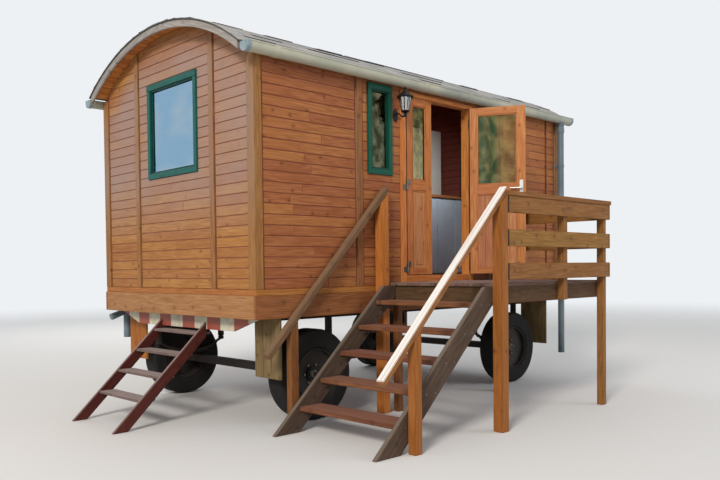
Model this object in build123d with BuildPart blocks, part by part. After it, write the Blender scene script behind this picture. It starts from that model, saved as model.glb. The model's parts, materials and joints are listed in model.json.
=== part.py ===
from build123d import *
import math
import os

# Circus wagon: a timber living wagon on a wheeled steel chassis, with a deck and stairs at its door.
# Millimetres. X runs along the wagon, away from its window end. Y runs across it, away from its door
# side. Z is up from the ground. The origin is on the ground under the middle of the whole object.

LOW = (Align.MIN, Align.MIN, Align.MIN)
STANDING = (Align.CENTER, Align.CENTER, Align.MIN)

# Wagon body
body_length = 4900.0
body_width = 2830.0
wall_thick = 80.0
wall_base_z = 1280.0

# Clearances
butt_gap = 0.5
seat_gap = 0.3

# Reach of what stands out furthest, which places the origin
steps_reach = 892.0
verge_overhang = 170.0
shingle_lip = 12.0
post_face_reach = 1500.0
cap_lip = 10.0
gutter_reach = 150.0

end_x = -(body_length + verge_overhang + shingle_lip - steps_reach) / 2
far_x = end_x + body_length
door_y = -(body_width + gutter_reach - post_face_reach - cap_lip) / 2
back_y = door_y + body_width
mid_x = (end_x + far_x) / 2
mid_y = (door_y + back_y) / 2

# Roof: a shallow barrel of boards under shingles, as high over the walls' faces as eave_z says
eave_z = 3425.0
roof_radius = 2480.0
roof_centre_z = eave_z - math.sqrt(roof_radius**2 - (body_width / 2) ** 2)
roof_board_thick = 24.0
shingle_thick = 10.0
shingle_eave_lip = 30.0
verge_depth = 65.0
verge_thick = 25.0
roof_under_radius = roof_radius - roof_board_thick

# Outside boards
skirt_base_z = 1015.0
skirt_height = 210.0
skirt_thick = 28.0
sill_thick = 18.0
trim_thick = 20.0
trim_width = 80.0
corner_side_width = 65.0
corner_end_width = 90.0
side_batten_from = 1219.0
end_batten_from = (617.0, 2042.0)

# Floor
floor_thick = 40.0
floor_below_walls = 20.0
joist_height = 110.0
joist_width = 70.0
joist_count = 7
first_joist_from = 150.0
floor_base_z = wall_base_z - floor_below_walls
floor_top_z = floor_base_z + floor_thick
joist_base_z = floor_base_z - joist_height

# Doorway, measured along the door wall from the window end
door_from = 1935.0
door_width = 1052.0
door_top_z = 3258.0
door_head_height = 45.0
door_frame_width = 78.0
door_frame_proud = 25.0
threshold_top_z = 1378.0

# Door leaves
narrow_leaf_width = 398.0
leaf_thick = 44.0
leaf_clear = 7.0
leaf_meeting_gap = 12.0
stile_width = 92.0
leaf_top_rail = 80.0
leaf_mid_rail = 105.0
leaf_bottom_rail = 60.0
leaf_mid_rail_z = 2282.0
leaf_panel_thick = 18.0
leaf_glass_thick = 6.0
leaf_open_angle = 120.0

# Hinges and handle
hinge_stand_off = 12.0
hinge_radius = 7.0
hinge_height = 55.0
hinge_plate_width = 52.0
hinge_plate_thick = 5.0
hinge_zs = (1470.0, 2330.0, 3090.0)
handle_z = 2335.0
handle_plate_width = 38.0
handle_plate_height = 180.0
handle_plate_thick = 4.0
handle_from_edge = 45.0
lever_radius = 8.0
lever_neck_radius = 11.0
lever_length = 120.0
lever_reach = 55.0

# Windows, measured along their wall
narrow_window_from = 1378.0
narrow_window_width = 353.0
narrow_window_height = 908.0
window_base_z = 2406.0
end_window_from = 900.0
end_window_width = 942.0
end_window_height = 973.0
far_window_from = 720.0
far_window_width = 863.0
far_window_height = 910.0
far_window_base_z = 2446.0
window_frame_width = 72.0
window_frame_proud = 28.0
window_frame_depth = 90.0
pane_thick = 6.0
pane_set_in = 10.0

# Deck
deck_from = 1600.0
deck_to = 3435.0
deck_top_z = 1310.0
deck_board_thick = 28.0
deck_board_count = 9
deck_board_gap = 5.0
deck_nosing = 25.0
deck_fascia_height = 150.0
deck_fascia_thick = 38.0
deck_joist_count = 3
deck_wall_gap = 24.0

# Posts and railing
post_size = 100.0
low_post_size = 80.0
railing_post_width = 70.0
mid_post_from = 2595.0
mid_post_width = 75.0
inner_post_from = 1452.0
inner_low_post_from = 290.0
outer_post_from = 1530.0
outer_low_post_from = 397.0
railing_top_z = 2130.0
railing_board_thick = 30.0
railing_board_height = 150.0
railing_board_gap = 148.0
railing_board_count = 3
railing_wall_gap = 60.0
railing_cap_thick = 42.0
railing_cap_width = 105.0
deck_reach = post_face_reach - post_size

# Stairs
stringer_thick = 45.0
stringer_depth = 190.0
tread_count = 5
tread_rise = 228.0
tread_run = 246.0
first_riser = 168.0
first_tread_from_deck = 290.0
tread_depth = 260.0
tread_thick = 40.0
edge_above_nose = 30.0
cleat_size = 40.0
handrail_width = 80.0
handrail_thick = 50.0
inner_rail_foot = (30.0, 710.0)
inner_rail_head = (1560.0, 2285.0)
outer_rail_foot = (44.0, 618.0)
outer_rail_head = (1630.0, 2170.0)

# Chassis
rail_in = 400.0
rail_width = 60.0
rail_height = 190.0
rail_web = 10.0
rail_end_inset = 130.0
cross_member_height = 120.0
cross_member_width = 60.0
cross_member_in = 570.0
warning_bar_thick = 30.0
warning_bar_height = 180.0
warning_bar_base_z = 880.0
warning_bar_inset = 100.0
warning_bar_bevel = 420.0
warning_bar_end_height = 45.0

# Wheels, axles and springs
wheel_radius = 440.0
tyre_width = 235.0
tyre_shoulder = 40.0
rim_radius = 250.0
rim_width = 200.0
rim_thick = 8.0
disc_offset = 45.0
hub_radius = 62.0
hub_length = 90.0
stub_radius = 25.0
axle_from_end = 800.0
wheel_inset = 120.0
axle_size = 80.0
spring_leaf_thick = 10.0
spring_leaf_count = 5
spring_leaf_step = 70.0
spring_width = 60.0
spring_half_length = 420.0
spring_sag = 110.0
eye_radius = 22.0
hanger_width = 46.0
mud_board_thick = 22.0
mud_board_width = 384.0
mud_board_base_z = 455.0
mud_board_from = 250.0

# Gutters and downpipes
gutter_width = 112.0
gutter_depth = 82.0
gutter_wall = 3.0
gutter_end_inset = 5.0
gutter_lip_z = 3395.0
gutter_bracket_count = 5
gutter_bracket_width = 25.0
gutter_bracket_height = 36.0
pipe_radius = 40.0
pipe_wall = 3.0
front_pipe_in = 52.0
front_pipe_end_z = 330.0
back_pipe_from = 260.0
back_pipe_end_z = 680.0

# Wall lantern
lantern_from = 1787.0
lantern_plate_z = 3030.0
lantern_out = 150.0
lantern_base_z = 3062.0
lantern_glass_height = 133.0
lantern_roof_height = 85.0
lantern_arm_radius = 8.0

# Portable steps
portable_from = 970.0
portable_width = 880.0
portable_head_z = 949.0
portable_first_rise = 265.0
portable_rise = 195.0
portable_board_thick = 34.0
portable_board_depth = 103.0
portable_tread_count = 4
portable_tread_depth = 170.0
portable_tread_thick = 25.0

# Counter and cupboard
counter_from = 3050.0
counter_size = (1050.0, 600.0, 1040.0)
counter_in = 800.0
counter_top_lip = 15.0
counter_top_thick = 36.0
cupboard_from = 3400.0
cupboard_size = (880.0, 500.0, 2050.0)
cupboard_in = 1450.0

os.makedirs("parts", exist_ok=True)


def under_roof(x, across, width, base_z):
    # Upright rectangle across the wagon at x, cut off by the curve under the roof boards
    with BuildSketch(Plane.YZ.offset(x)) as section:
        with Locations((across, base_z)):
            Rectangle(width, roof_centre_z + roof_radius - base_z, align=(Align.MIN, Align.MIN))
        with Locations((mid_y, roof_centre_z)):
            Circle(roof_under_radius, mode=Mode.INTERSECT)
    return section.sketch


def roof_band(x, outer_radius, depth, width):
    # Band that follows the roof's curve across the wagon at x
    with BuildSketch(Plane.YZ.offset(x)) as section:
        with Locations((mid_y, roof_centre_z)):
            Circle(outer_radius)
            Circle(outer_radius - depth, mode=Mode.SUBTRACT)
        with Locations((mid_y, roof_centre_z)):
            Rectangle(width, outer_radius + 1, align=(Align.CENTER, Align.MIN), mode=Mode.INTERSECT)
    return section.sketch


# Walls. The long walls run the whole length, and the end walls stand between them.
# Window holes are smaller than the frames, which lap over their edges.
lap = window_frame_width / 2
door_middle = door_from + door_width / 2
far_narrow_from = 2 * door_middle - narrow_window_from - narrow_window_width
door_x0 = end_x + door_from
door_x1 = door_x0 + door_width
door_hole_x0 = door_x0 - door_frame_width / 2
door_hole_x1 = door_x1 + door_frame_width / 2
door_head_z = door_top_z + door_head_height
narrow_hole = (narrow_window_width - 2 * lap, 2 * wall_thick, narrow_window_height - 2 * lap)
narrow_mid_z = window_base_z + narrow_window_height / 2

with BuildPart() as door_wall_window_side:
    extrude(under_roof(end_x, door_y, wall_thick, wall_base_z), amount=door_hole_x0 - end_x)
    with Locations((end_x + narrow_window_from + narrow_window_width / 2, door_y, narrow_mid_z)):
        Box(*narrow_hole, mode=Mode.SUBTRACT)
door_wall_window_side.part.label = "door_wall_window_side"
export_step(door_wall_window_side.part, "parts/door_wall_window_side.step")

with BuildPart() as door_wall_far_side:
    extrude(under_roof(door_hole_x1, door_y, wall_thick, wall_base_z), amount=far_x - door_hole_x1)
    with Locations((end_x + far_narrow_from + narrow_window_width / 2, door_y, narrow_mid_z)):
        Box(*narrow_hole, mode=Mode.SUBTRACT)
door_wall_far_side.part.label = "door_wall_far_side"
export_step(door_wall_far_side.part, "parts/door_wall_far_side.step")

with BuildPart() as door_wall_over_door:
    extrude(under_roof(door_hole_x0, door_y, wall_thick, door_head_z), amount=door_hole_x1 - door_hole_x0)
door_wall_over_door.part.label = "door_wall_over_door"
export_step(door_wall_over_door.part, "parts/door_wall_over_door.step")

with BuildPart() as back_wall:
    extrude(under_roof(end_x, back_y - wall_thick, wall_thick, wall_base_z), amount=body_length)
    for window_from in (narrow_window_from, far_narrow_from):
        with Locations((end_x + window_from + narrow_window_width / 2, back_y, narrow_mid_z)):
            Box(*narrow_hole, mode=Mode.SUBTRACT)
back_wall.part.label = "back_wall"
export_step(back_wall.part, "parts/back_wall.step")

end_wall_width = body_width - 2 * wall_thick
with BuildPart() as window_end_wall:
    extrude(under_roof(end_x, door_y + wall_thick, end_wall_width, wall_base_z), amount=wall_thick)
    with Locations(
        (end_x, door_y + end_window_from + end_window_width / 2, window_base_z + end_window_height / 2)
    ):
        Box(2 * wall_thick, end_window_width - 2 * lap, end_window_height - 2 * lap, mode=Mode.SUBTRACT)
window_end_wall.part.label = "window_end_wall"
export_step(window_end_wall.part, "parts/window_end_wall.step")

far_inner_x = far_x - wall_thick
with BuildPart() as far_end_wall:
    extrude(under_roof(far_inner_x, door_y + wall_thick, end_wall_width, wall_base_z), amount=wall_thick)
    with Locations(
        (far_x, door_y + far_window_from + far_window_width / 2, far_window_base_z + far_window_height / 2)
    ):
        Box(2 * wall_thick, far_window_width - 2 * lap, far_window_height - 2 * lap, mode=Mode.SUBTRACT)
far_end_wall.part.label = "far_end_wall"
export_step(far_end_wall.part, "parts/far_end_wall.step")

# Floor boards between the walls, on joists that butt against a plate under each long wall
with BuildPart() as floor:
    with Locations((end_x + wall_thick, door_y + wall_thick, floor_base_z)):
        Box(body_length - 2 * wall_thick, end_wall_width, floor_thick, align=LOW)
floor.part.label = "floor"
export_step(floor.part, "parts/floor.step")

joist_pitch = (body_length - 2 * first_joist_from) / (joist_count - 1)
with BuildPart() as floor_frame:
    for plate_y in (door_y, back_y - wall_thick):
        with Locations((end_x, plate_y, joist_base_z)):
            Box(body_length, wall_thick - butt_gap, wall_base_z - joist_base_z, align=LOW)
    with Locations((mid_x, mid_y, joist_base_z)):
        with GridLocations(joist_pitch, 1, joist_count, 1):
            Box(joist_width, end_wall_width - 2 * butt_gap, joist_height, align=STANDING)
floor_frame.part.label = "floor_frame"
export_step(floor_frame.part, "parts/floor_frame.step")

# Roof
roof_x0 = end_x - verge_overhang
roof_length = body_length + 2 * verge_overhang
with BuildPart() as roof_boards:
    extrude(
        roof_band(roof_x0 + verge_thick, roof_radius, roof_board_thick, body_width),
        amount=roof_length - 2 * verge_thick,
    )
roof_boards.part.label = "roof_boards"
export_step(roof_boards.part, "parts/roof_boards.step")

with BuildPart() as roof_shingles:
    extrude(
        roof_band(
            roof_x0 - shingle_lip,
            roof_radius + shingle_thick,
            shingle_thick,
            body_width + 2 * shingle_eave_lip,
        ),
        amount=roof_length + 2 * shingle_lip,
    )
roof_shingles.part.label = "roof_shingles"
export_step(roof_shingles.part, "parts/roof_shingles.step")

with BuildPart() as verge_boards:
    for verge_x in (roof_x0, roof_x0 + roof_length - verge_thick):
        extrude(roof_band(verge_x, roof_radius, verge_depth, body_width), amount=verge_thick)
verge_boards.part.label = "verge_boards"
export_step(verge_boards.part, "parts/verge_boards.step")

# Corner boards wrap each corner as an angle, and battens cover the joints of the cladding
eave_under_z = roof_centre_z + math.sqrt(roof_under_radius**2 - (body_width / 2 + trim_thick) ** 2)
far_batten_from = 2 * door_middle - side_batten_from - trim_width
with BuildPart() as wall_trims:
    for corner_x, turn_x in ((end_x, 1), (far_x, -1)):
        for corner_y, turn_y in ((door_y, 1), (back_y, -1)):
            with BuildSketch(Plane.XY.offset(wall_base_z)):
                with BuildLine():
                    Polyline(
                        (corner_x, corner_y),
                        (corner_x, corner_y + turn_y * corner_end_width),
                        (corner_x - turn_x * trim_thick, corner_y + turn_y * corner_end_width),
                        (corner_x - turn_x * trim_thick, corner_y - turn_y * trim_thick),
                        (corner_x + turn_x * corner_side_width, corner_y - turn_y * trim_thick),
                        (corner_x + turn_x * corner_side_width, corner_y),
                        close=True,
                    )
                make_face()
            extrude(amount=eave_under_z - wall_base_z)
    for batten_from in (side_batten_from, far_batten_from):
        with Locations(
            (end_x + batten_from, door_y - trim_thick, wall_base_z),
            (end_x + batten_from, back_y, wall_base_z),
        ):
            Box(trim_width, trim_thick, eave_under_z - wall_base_z, align=LOW)
    for batten_from in end_batten_from:
        for batten_x in (end_x - trim_thick, far_x):
            extrude(under_roof(batten_x, door_y + batten_from, trim_width, wall_base_z), amount=trim_thick)
wall_trims.part.label = "wall_trims"
export_step(wall_trims.part, "parts/wall_trims.step")

# Sill strip and skirt run round the foot of the walls, the long boards past the ends of the short ones
sill_z = skirt_base_z + skirt_height
with BuildPart() as sill_strip:
    for strip_y in (door_y - sill_thick, back_y):
        with Locations((end_x - sill_thick, strip_y, sill_z)):
            Box(body_length + 2 * sill_thick, sill_thick, wall_base_z - sill_z, align=LOW)
    for strip_x in (end_x - sill_thick, far_x):
        with Locations((strip_x, door_y + butt_gap, sill_z)):
            Box(sill_thick, body_width - 2 * butt_gap, wall_base_z - sill_z, align=LOW)
sill_strip.part.label = "sill_strip"
export_step(sill_strip.part, "parts/sill_strip.step")

with BuildPart() as skirt_boards:
    for board_y in (door_y - skirt_thick, back_y):
        with Locations((end_x - skirt_thick, board_y, skirt_base_z)):
            Box(body_length + 2 * skirt_thick, skirt_thick, skirt_height, align=LOW)
    for board_x in (end_x - skirt_thick, far_x):
        with Locations((board_x, door_y + butt_gap, skirt_base_z)):
            Box(skirt_thick, body_width - 2 * butt_gap, skirt_height, align=LOW)
skirt_boards.part.label = "skirt_boards"
export_step(skirt_boards.part, "parts/skirt_boards.step")

# Window frames: a flange over the cladding, a body in the hole and a pane in the middle
with BuildPart() as narrow_window_frames:
    for window_from in (narrow_window_from, far_narrow_from):
        for face_y, inward in ((door_y, 1), (back_y, -1)):
            window_x = end_x + window_from + narrow_window_width / 2
            body_depth = window_frame_depth - window_frame_proud
            with Locations((window_x, face_y - inward * window_frame_proud / 2, narrow_mid_z)):
                Box(narrow_window_width, window_frame_proud, narrow_window_height)
            with Locations((window_x, face_y + inward * body_depth / 2, narrow_mid_z)):
                Box(narrow_window_width - 2 * lap, body_depth, narrow_window_height - 2 * lap)
            with Locations((window_x, face_y, narrow_mid_z)):
                Box(
                    narrow_window_width - 2 * window_frame_width,
                    3 * window_frame_depth,
                    narrow_window_height - 2 * window_frame_width,
                    mode=Mode.SUBTRACT,
                )
narrow_window_frames.part.label = "narrow_window_frames"
export_step(narrow_window_frames.part, "parts/narrow_window_frames.step")

end_windows = (
    (end_window_from, end_window_width, end_window_height, window_base_z, end_x, 1),
    (far_window_from, far_window_width, far_window_height, far_window_base_z, far_x, -1),
)
with BuildPart() as end_window_frames:
    for window_from, width, height, base_z, face_x, inward in end_windows:
        window_y = door_y + window_from + width / 2
        window_z = base_z + height / 2
        body_depth = window_frame_depth - window_frame_proud
        with Locations((face_x - inward * window_frame_proud / 2, window_y, window_z)):
            Box(window_frame_proud, width, height)
        with Locations((face_x + inward * body_depth / 2, window_y, window_z)):
            Box(body_depth, width - 2 * lap, height - 2 * lap)
        with Locations((face_x, window_y, window_z)):
            Box(
                3 * window_frame_depth,
                width - 2 * window_frame_width,
                height - 2 * window_frame_width,
                mode=Mode.SUBTRACT,
            )
end_window_frames.part.label = "end_window_frames"
export_step(end_window_frames.part, "parts/end_window_frames.step")

with BuildPart() as window_panes:
    for window_from in (narrow_window_from, far_narrow_from):
        for pane_y in (door_y + pane_set_in, back_y - pane_set_in):
            with Locations((end_x + window_from + narrow_window_width / 2, pane_y, narrow_mid_z)):
                Box(
                    narrow_window_width - 2 * window_frame_width,
                    pane_thick,
                    narrow_window_height - 2 * window_frame_width,
                )
    for window_from, width, height, base_z, face_x, inward in end_windows:
        with Locations(
            (face_x + inward * pane_set_in, door_y + window_from + width / 2, base_z + height / 2)
        ):
            Box(pane_thick, width - 2 * window_frame_width, height - 2 * window_frame_width)
window_panes.part.label = "window_panes"
export_step(window_panes.part, "parts/window_panes.step")

# Door frame: jambs with a flange over the cladding, a head and a threshold between them
frame_face_y = door_y - door_frame_proud
frame_depth = door_frame_proud + wall_thick
with BuildPart() as door_frame:
    for flange_x, body_x in (
        (door_x0 - door_frame_width, door_x0 - door_frame_width / 2),
        (door_x1, door_x1),
    ):
        with Locations((flange_x, frame_face_y, wall_base_z)):
            Box(door_frame_width, door_frame_proud, door_head_z - wall_base_z, align=LOW)
        with Locations((body_x, door_y, wall_base_z)):
            Box(door_frame_width / 2, wall_thick, door_head_z - wall_base_z, align=LOW)
    with Locations((door_x0 + butt_gap, frame_face_y, door_top_z)):
        Box(door_width - 2 * butt_gap, frame_depth, door_head_height, align=LOW)
    with Locations((door_x0 + butt_gap, frame_face_y, wall_base_z)):
        Box(door_width - 2 * butt_gap, frame_depth, threshold_top_z - wall_base_z, align=LOW)
door_frame.part.label = "door_frame"
export_step(door_frame.part, "parts/door_frame.step")

# Door leaves, each drawn from its hinge line: X along the leaf, Z from its foot. The narrow leaf is
# shut. The wide one is drawn the other way round and stands open.
leaf_z0 = threshold_top_z + leaf_clear
leaf_height = door_top_z - leaf_clear - leaf_z0
hinge_y = frame_face_y - hinge_stand_off
hinge_edge = leaf_clear / 2
left_hinge = Location((door_x0 + hinge_edge, hinge_y, leaf_z0))
right_hinge = Location((door_x1 - hinge_edge, hinge_y, leaf_z0), (0, 0, 180.0 + leaf_open_angle))
wide_leaf_width = door_width - 2 * leaf_clear - leaf_meeting_gap - narrow_leaf_width
glass_z = leaf_mid_rail_z + leaf_mid_rail - leaf_z0
glass_height = leaf_height - leaf_top_rail - glass_z
panel_height = leaf_mid_rail_z - leaf_z0 - leaf_bottom_rail
left_middle_y = hinge_stand_off + leaf_thick / 2
right_middle_y = -left_middle_y

with BuildPart() as left_leaf_frame:
    with Locations(left_hinge * Location((hinge_edge + narrow_leaf_width / 2, left_middle_y, 0))):
        Box(narrow_leaf_width, leaf_thick, leaf_height, align=STANDING)
        with Locations((0, 0, glass_z)):
            Box(
                narrow_leaf_width - 2 * stile_width,
                2 * leaf_thick,
                glass_height,
                align=STANDING,
                mode=Mode.SUBTRACT,
            )
        with Locations((0, 0, leaf_bottom_rail)):
            Box(
                narrow_leaf_width - 2 * stile_width,
                2 * leaf_thick,
                panel_height,
                align=STANDING,
                mode=Mode.SUBTRACT,
            )
left_leaf_frame.part.label = "left_leaf_frame"
export_step(left_leaf_frame.part, "parts/left_leaf_frame.step")

with BuildPart() as left_leaf_panel:
    with Locations(
        left_hinge * Location((hinge_edge + narrow_leaf_width / 2, left_middle_y, leaf_bottom_rail))
    ):
        Box(narrow_leaf_width - 2 * stile_width, leaf_panel_thick, panel_height, align=STANDING)
left_leaf_panel.part.label = "left_leaf_panel"
export_step(left_leaf_panel.part, "parts/left_leaf_panel.step")

with BuildPart() as left_leaf_glass:
    with Locations(left_hinge * Location((hinge_edge + narrow_leaf_width / 2, left_middle_y, glass_z))):
        Box(narrow_leaf_width - 2 * stile_width, leaf_glass_thick, glass_height, align=STANDING)
left_leaf_glass.part.label = "left_leaf_glass"
export_step(left_leaf_glass.part, "parts/left_leaf_glass.step")

with BuildPart() as right_leaf_frame:
    with Locations(right_hinge * Location((hinge_edge + wide_leaf_width / 2, right_middle_y, 0))):
        Box(wide_leaf_width, leaf_thick, leaf_height, align=STANDING)
        with Locations((0, 0, glass_z)):
            Box(
                wide_leaf_width - 2 * stile_width,
                2 * leaf_thick,
                glass_height,
                align=STANDING,
                mode=Mode.SUBTRACT,
            )
        with Locations((0, 0, leaf_bottom_rail)):
            Box(
                wide_leaf_width - 2 * stile_width,
                2 * leaf_thick,
                panel_height,
                align=STANDING,
                mode=Mode.SUBTRACT,
            )
right_leaf_frame.part.label = "right_leaf_frame"
export_step(right_leaf_frame.part, "parts/right_leaf_frame.step")

with BuildPart() as right_leaf_panel:
    with Locations(
        right_hinge * Location((hinge_edge + wide_leaf_width / 2, right_middle_y, leaf_bottom_rail))
    ):
        Box(wide_leaf_width - 2 * stile_width, leaf_panel_thick, panel_height, align=STANDING)
right_leaf_panel.part.label = "right_leaf_panel"
export_step(right_leaf_panel.part, "parts/right_leaf_panel.step")

with BuildPart() as right_leaf_glass:
    with Locations(right_hinge * Location((hinge_edge + wide_leaf_width / 2, right_middle_y, glass_z))):
        Box(wide_leaf_width - 2 * stile_width, leaf_glass_thick, glass_height, align=STANDING)
right_leaf_glass.part.label = "right_leaf_glass"
export_step(right_leaf_glass.part, "parts/right_leaf_glass.step")


def hinge_half(side):
    # Knuckle on the hinge line with its strap, seen from above. The strap lies on the face behind the
    # knuckle. Side is 1 where the strap runs along local +X.
    with BuildSketch(mode=Mode.PRIVATE) as half:
        Circle(hinge_radius)
        with Locations((side * (hinge_edge + hinge_radius / 2), hinge_stand_off / 2)):
            Rectangle(hinge_radius, hinge_stand_off)
        with Locations(
            (side * (hinge_edge + hinge_plate_width / 2), hinge_stand_off - hinge_plate_thick / 2)
        ):
            Rectangle(hinge_plate_width, hinge_plate_thick)
    return half.sketch


def hinge_set(hinge, side, mirrored, above):
    # The same half at every hinge height. The leaf's half sits above the frame's half.
    outline = hinge_half(side)
    if mirrored:
        outline = mirror(outline, about=Plane.XZ, mode=Mode.PRIVATE)
    for hinge_z in hinge_zs:
        foot_z = hinge_z - leaf_z0 + (seat_gap if above else -hinge_height)
        placed = hinge * Location((0, 0, foot_z)) * outline
        extrude(placed, amount=hinge_height, dir=(0, 0, 1))


with BuildPart() as left_leaf_hinges:
    hinge_set(left_hinge, 1, False, True)
left_leaf_hinges.part.label = "left_leaf_hinges"
export_step(left_leaf_hinges.part, "parts/left_leaf_hinges.step")

with BuildPart() as right_leaf_hinges:
    hinge_set(right_hinge, 1, True, True)
right_leaf_hinges.part.label = "right_leaf_hinges"
export_step(right_leaf_hinges.part, "parts/right_leaf_hinges.step")

with BuildPart() as frame_hinges:
    hinge_set(left_hinge, -1, False, False)
    hinge_set(Location((door_x1 - hinge_edge, hinge_y, leaf_z0)), 1, False, False)
frame_hinges.part.label = "frame_hinges"
export_step(frame_hinges.part, "parts/frame_hinges.step")

# Door handle: a plate and a lever on each face of the wide leaf. The lever points to the hinges.
handle_x = hinge_edge + wide_leaf_width - handle_from_edge
with BuildPart() as door_handle:
    for outward in (1, -1):
        face_y = right_middle_y + outward * leaf_thick / 2
        plate_y = face_y + outward * handle_plate_thick / 2
        with Locations(right_hinge * Location((handle_x, plate_y, handle_z - leaf_z0))):
            Box(handle_plate_width, handle_plate_thick, handle_plate_height)
        neck_y = face_y + outward * lever_reach / 2
        with Locations(right_hinge * Location((handle_x, neck_y, handle_z - leaf_z0))):
            Cylinder(lever_neck_radius, lever_reach, rotation=(90, 0, 0))
        lever_y = face_y + outward * (lever_reach - lever_neck_radius)
        with Locations(right_hinge * Location((handle_x, lever_y, handle_z - leaf_z0))):
            Cylinder(
                lever_radius,
                lever_length,
                rotation=(0, -90, 0),
                align=(Align.CENTER, Align.CENTER, Align.MIN),
            )
door_handle.part.label = "door_handle"
export_step(door_handle.part, "parts/door_handle.step")

# Gutters: open channels with stop ends, held off the walls by brackets
gutter_z0 = gutter_lip_z - gutter_depth
gutter_round_z = gutter_z0 + gutter_width / 2
gutter_x0 = roof_x0 + gutter_end_inset
gutter_length = roof_length - 2 * gutter_end_inset
gutter_out = gutter_reach - gutter_width / 2
with BuildPart() as gutters:
    for wall_y, outward in ((door_y, -1), (back_y, 1)):
        gutter_y = wall_y + outward * gutter_out
        with BuildSketch(Plane.YZ.offset(gutter_x0)):
            with Locations((gutter_y, gutter_round_z)):
                Circle(gutter_width / 2)
                Rectangle(gutter_width, gutter_lip_z - gutter_round_z, align=(Align.CENTER, Align.MIN))
            with Locations((gutter_y, gutter_z0)):
                Rectangle(gutter_width, gutter_depth, align=(Align.CENTER, Align.MIN), mode=Mode.INTERSECT)
        extrude(amount=gutter_length)
        with BuildSketch(Plane.YZ.offset(gutter_x0 + gutter_wall)):
            with Locations((gutter_y, gutter_round_z)):
                Circle(gutter_width / 2 - gutter_wall)
                Rectangle(
                    gutter_width - 2 * gutter_wall,
                    gutter_depth,
                    align=(Align.CENTER, Align.MIN),
                )
        extrude(amount=gutter_length - 2 * gutter_wall, mode=Mode.SUBTRACT)
        bracket_reach = gutter_reach - gutter_width
        bracket_z = gutter_round_z + gutter_bracket_height / 2 - gutter_depth / 4
        with Locations((mid_x, wall_y + outward * bracket_reach / 2, bracket_z)):
            with GridLocations(body_length / gutter_bracket_count, 1, gutter_bracket_count, 1):
                Box(gutter_bracket_width, bracket_reach, gutter_bracket_height)
gutters.part.label = "gutters"
export_step(gutters.part, "parts/gutters.step")

# Downpipes hang from the gutters' outlets, cut to the gutters' round undersides
with BuildPart() as downpipes:
    for pipe_x, pipe_y, end_z in (
        (far_x - front_pipe_in, door_y - gutter_out, front_pipe_end_z),
        (end_x + back_pipe_from, back_y + gutter_out, back_pipe_end_z),
    ):
        with BuildSketch(Plane.XY.offset(end_z)):
            with Locations((pipe_x, pipe_y)):
                Circle(pipe_radius)
                Circle(pipe_radius - pipe_wall, mode=Mode.SUBTRACT)
        extrude(amount=gutter_round_z - end_z)
        with Locations((pipe_x, pipe_y, gutter_round_z)):
            Cylinder(
                gutter_width / 2 + seat_gap,
                4 * pipe_radius,
                rotation=(0, 90, 0),
                mode=Mode.SUBTRACT,
            )
downpipes.part.label = "downpipes"
export_step(downpipes.part, "parts/downpipes.step")

# Wall lantern: a plate, an arm and a cup under a six-sided glass, with a roof on top
lantern_x = end_x + lantern_from
lantern_y = door_y - lantern_out
lantern_glass_top = lantern_base_z + lantern_glass_height
with BuildPart() as lantern_body:
    with Locations((lantern_x, door_y - 6, lantern_plate_z)):
        Box(65.0, 12.0, 130.0)
    with Locations((lantern_x, door_y, lantern_plate_z)):
        Cylinder(
            lantern_arm_radius,
            lantern_out,
            rotation=(90, 0, 0),
            align=(Align.CENTER, Align.CENTER, Align.MIN),
        )
    with Locations((lantern_x, lantern_y, lantern_plate_z - 2 * lantern_arm_radius)):
        Cylinder(
            1.5 * lantern_arm_radius,
            lantern_base_z - lantern_plate_z + lantern_arm_radius,
            align=STANDING,
        )
    with BuildSketch(Plane.XY.offset(lantern_base_z - 12.0)):
        with Locations((lantern_x, lantern_y)):
            RegularPolygon(44.0, 6)
    extrude(amount=12.0)
    with BuildSketch(Plane.XY.offset(lantern_glass_top)):
        with Locations((lantern_x, lantern_y)):
            RegularPolygon(76.0, 6)
    with BuildSketch(Plane.XY.offset(lantern_glass_top + lantern_roof_height)):
        with Locations((lantern_x, lantern_y)):
            RegularPolygon(16.0, 6)
    loft()
lantern_body.part.label = "lantern_body"
export_step(lantern_body.part, "parts/lantern_body.step")

with BuildPart() as lantern_glass:
    with BuildSketch(Plane.XY.offset(lantern_base_z)):
        with Locations((lantern_x, lantern_y)):
            RegularPolygon(40.0, 6)
    with BuildSketch(Plane.XY.offset(lantern_glass_top)):
        with Locations((lantern_x, lantern_y)):
            RegularPolygon(60.0, 6)
    loft()
lantern_glass.part.label = "lantern_glass"
export_step(lantern_glass.part, "parts/lantern_glass.step")

# Deck: four fascia boards and joists that butt against them, under boards along the wagon
deck_x0 = end_x + deck_from
deck_x1 = end_x + deck_to
deck_y0 = door_y - deck_reach
deck_y1 = door_y - skirt_thick - deck_wall_gap
deck_length = deck_x1 - deck_x0
deck_width = deck_y1 - deck_y0
deck_frame_z1 = deck_top_z - deck_board_thick
deck_frame_z0 = deck_frame_z1 - deck_fascia_height
deck_mid = ((deck_x0 + deck_x1) / 2, (deck_y0 + deck_y1) / 2)
deck_cross_length = deck_width - 2 * (deck_fascia_thick + butt_gap)
with BuildPart() as deck_frame:
    for fascia_y in (deck_y0, deck_y1 - deck_fascia_thick):
        with Locations((deck_x0, fascia_y, deck_frame_z0)):
            Box(deck_length, deck_fascia_thick, deck_fascia_height, align=LOW)
    with Locations((*deck_mid, deck_frame_z0)):
        with GridLocations(deck_length - deck_fascia_thick, 1, 2, 1):
            Box(deck_fascia_thick, deck_cross_length, deck_fascia_height, align=STANDING)
        with GridLocations(deck_length / (deck_joist_count + 1), 1, deck_joist_count, 1):
            Box(deck_fascia_thick, deck_cross_length, deck_fascia_height, align=STANDING)
deck_frame.part.label = "deck_frame"
export_step(deck_frame.part, "parts/deck_frame.step")

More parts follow.
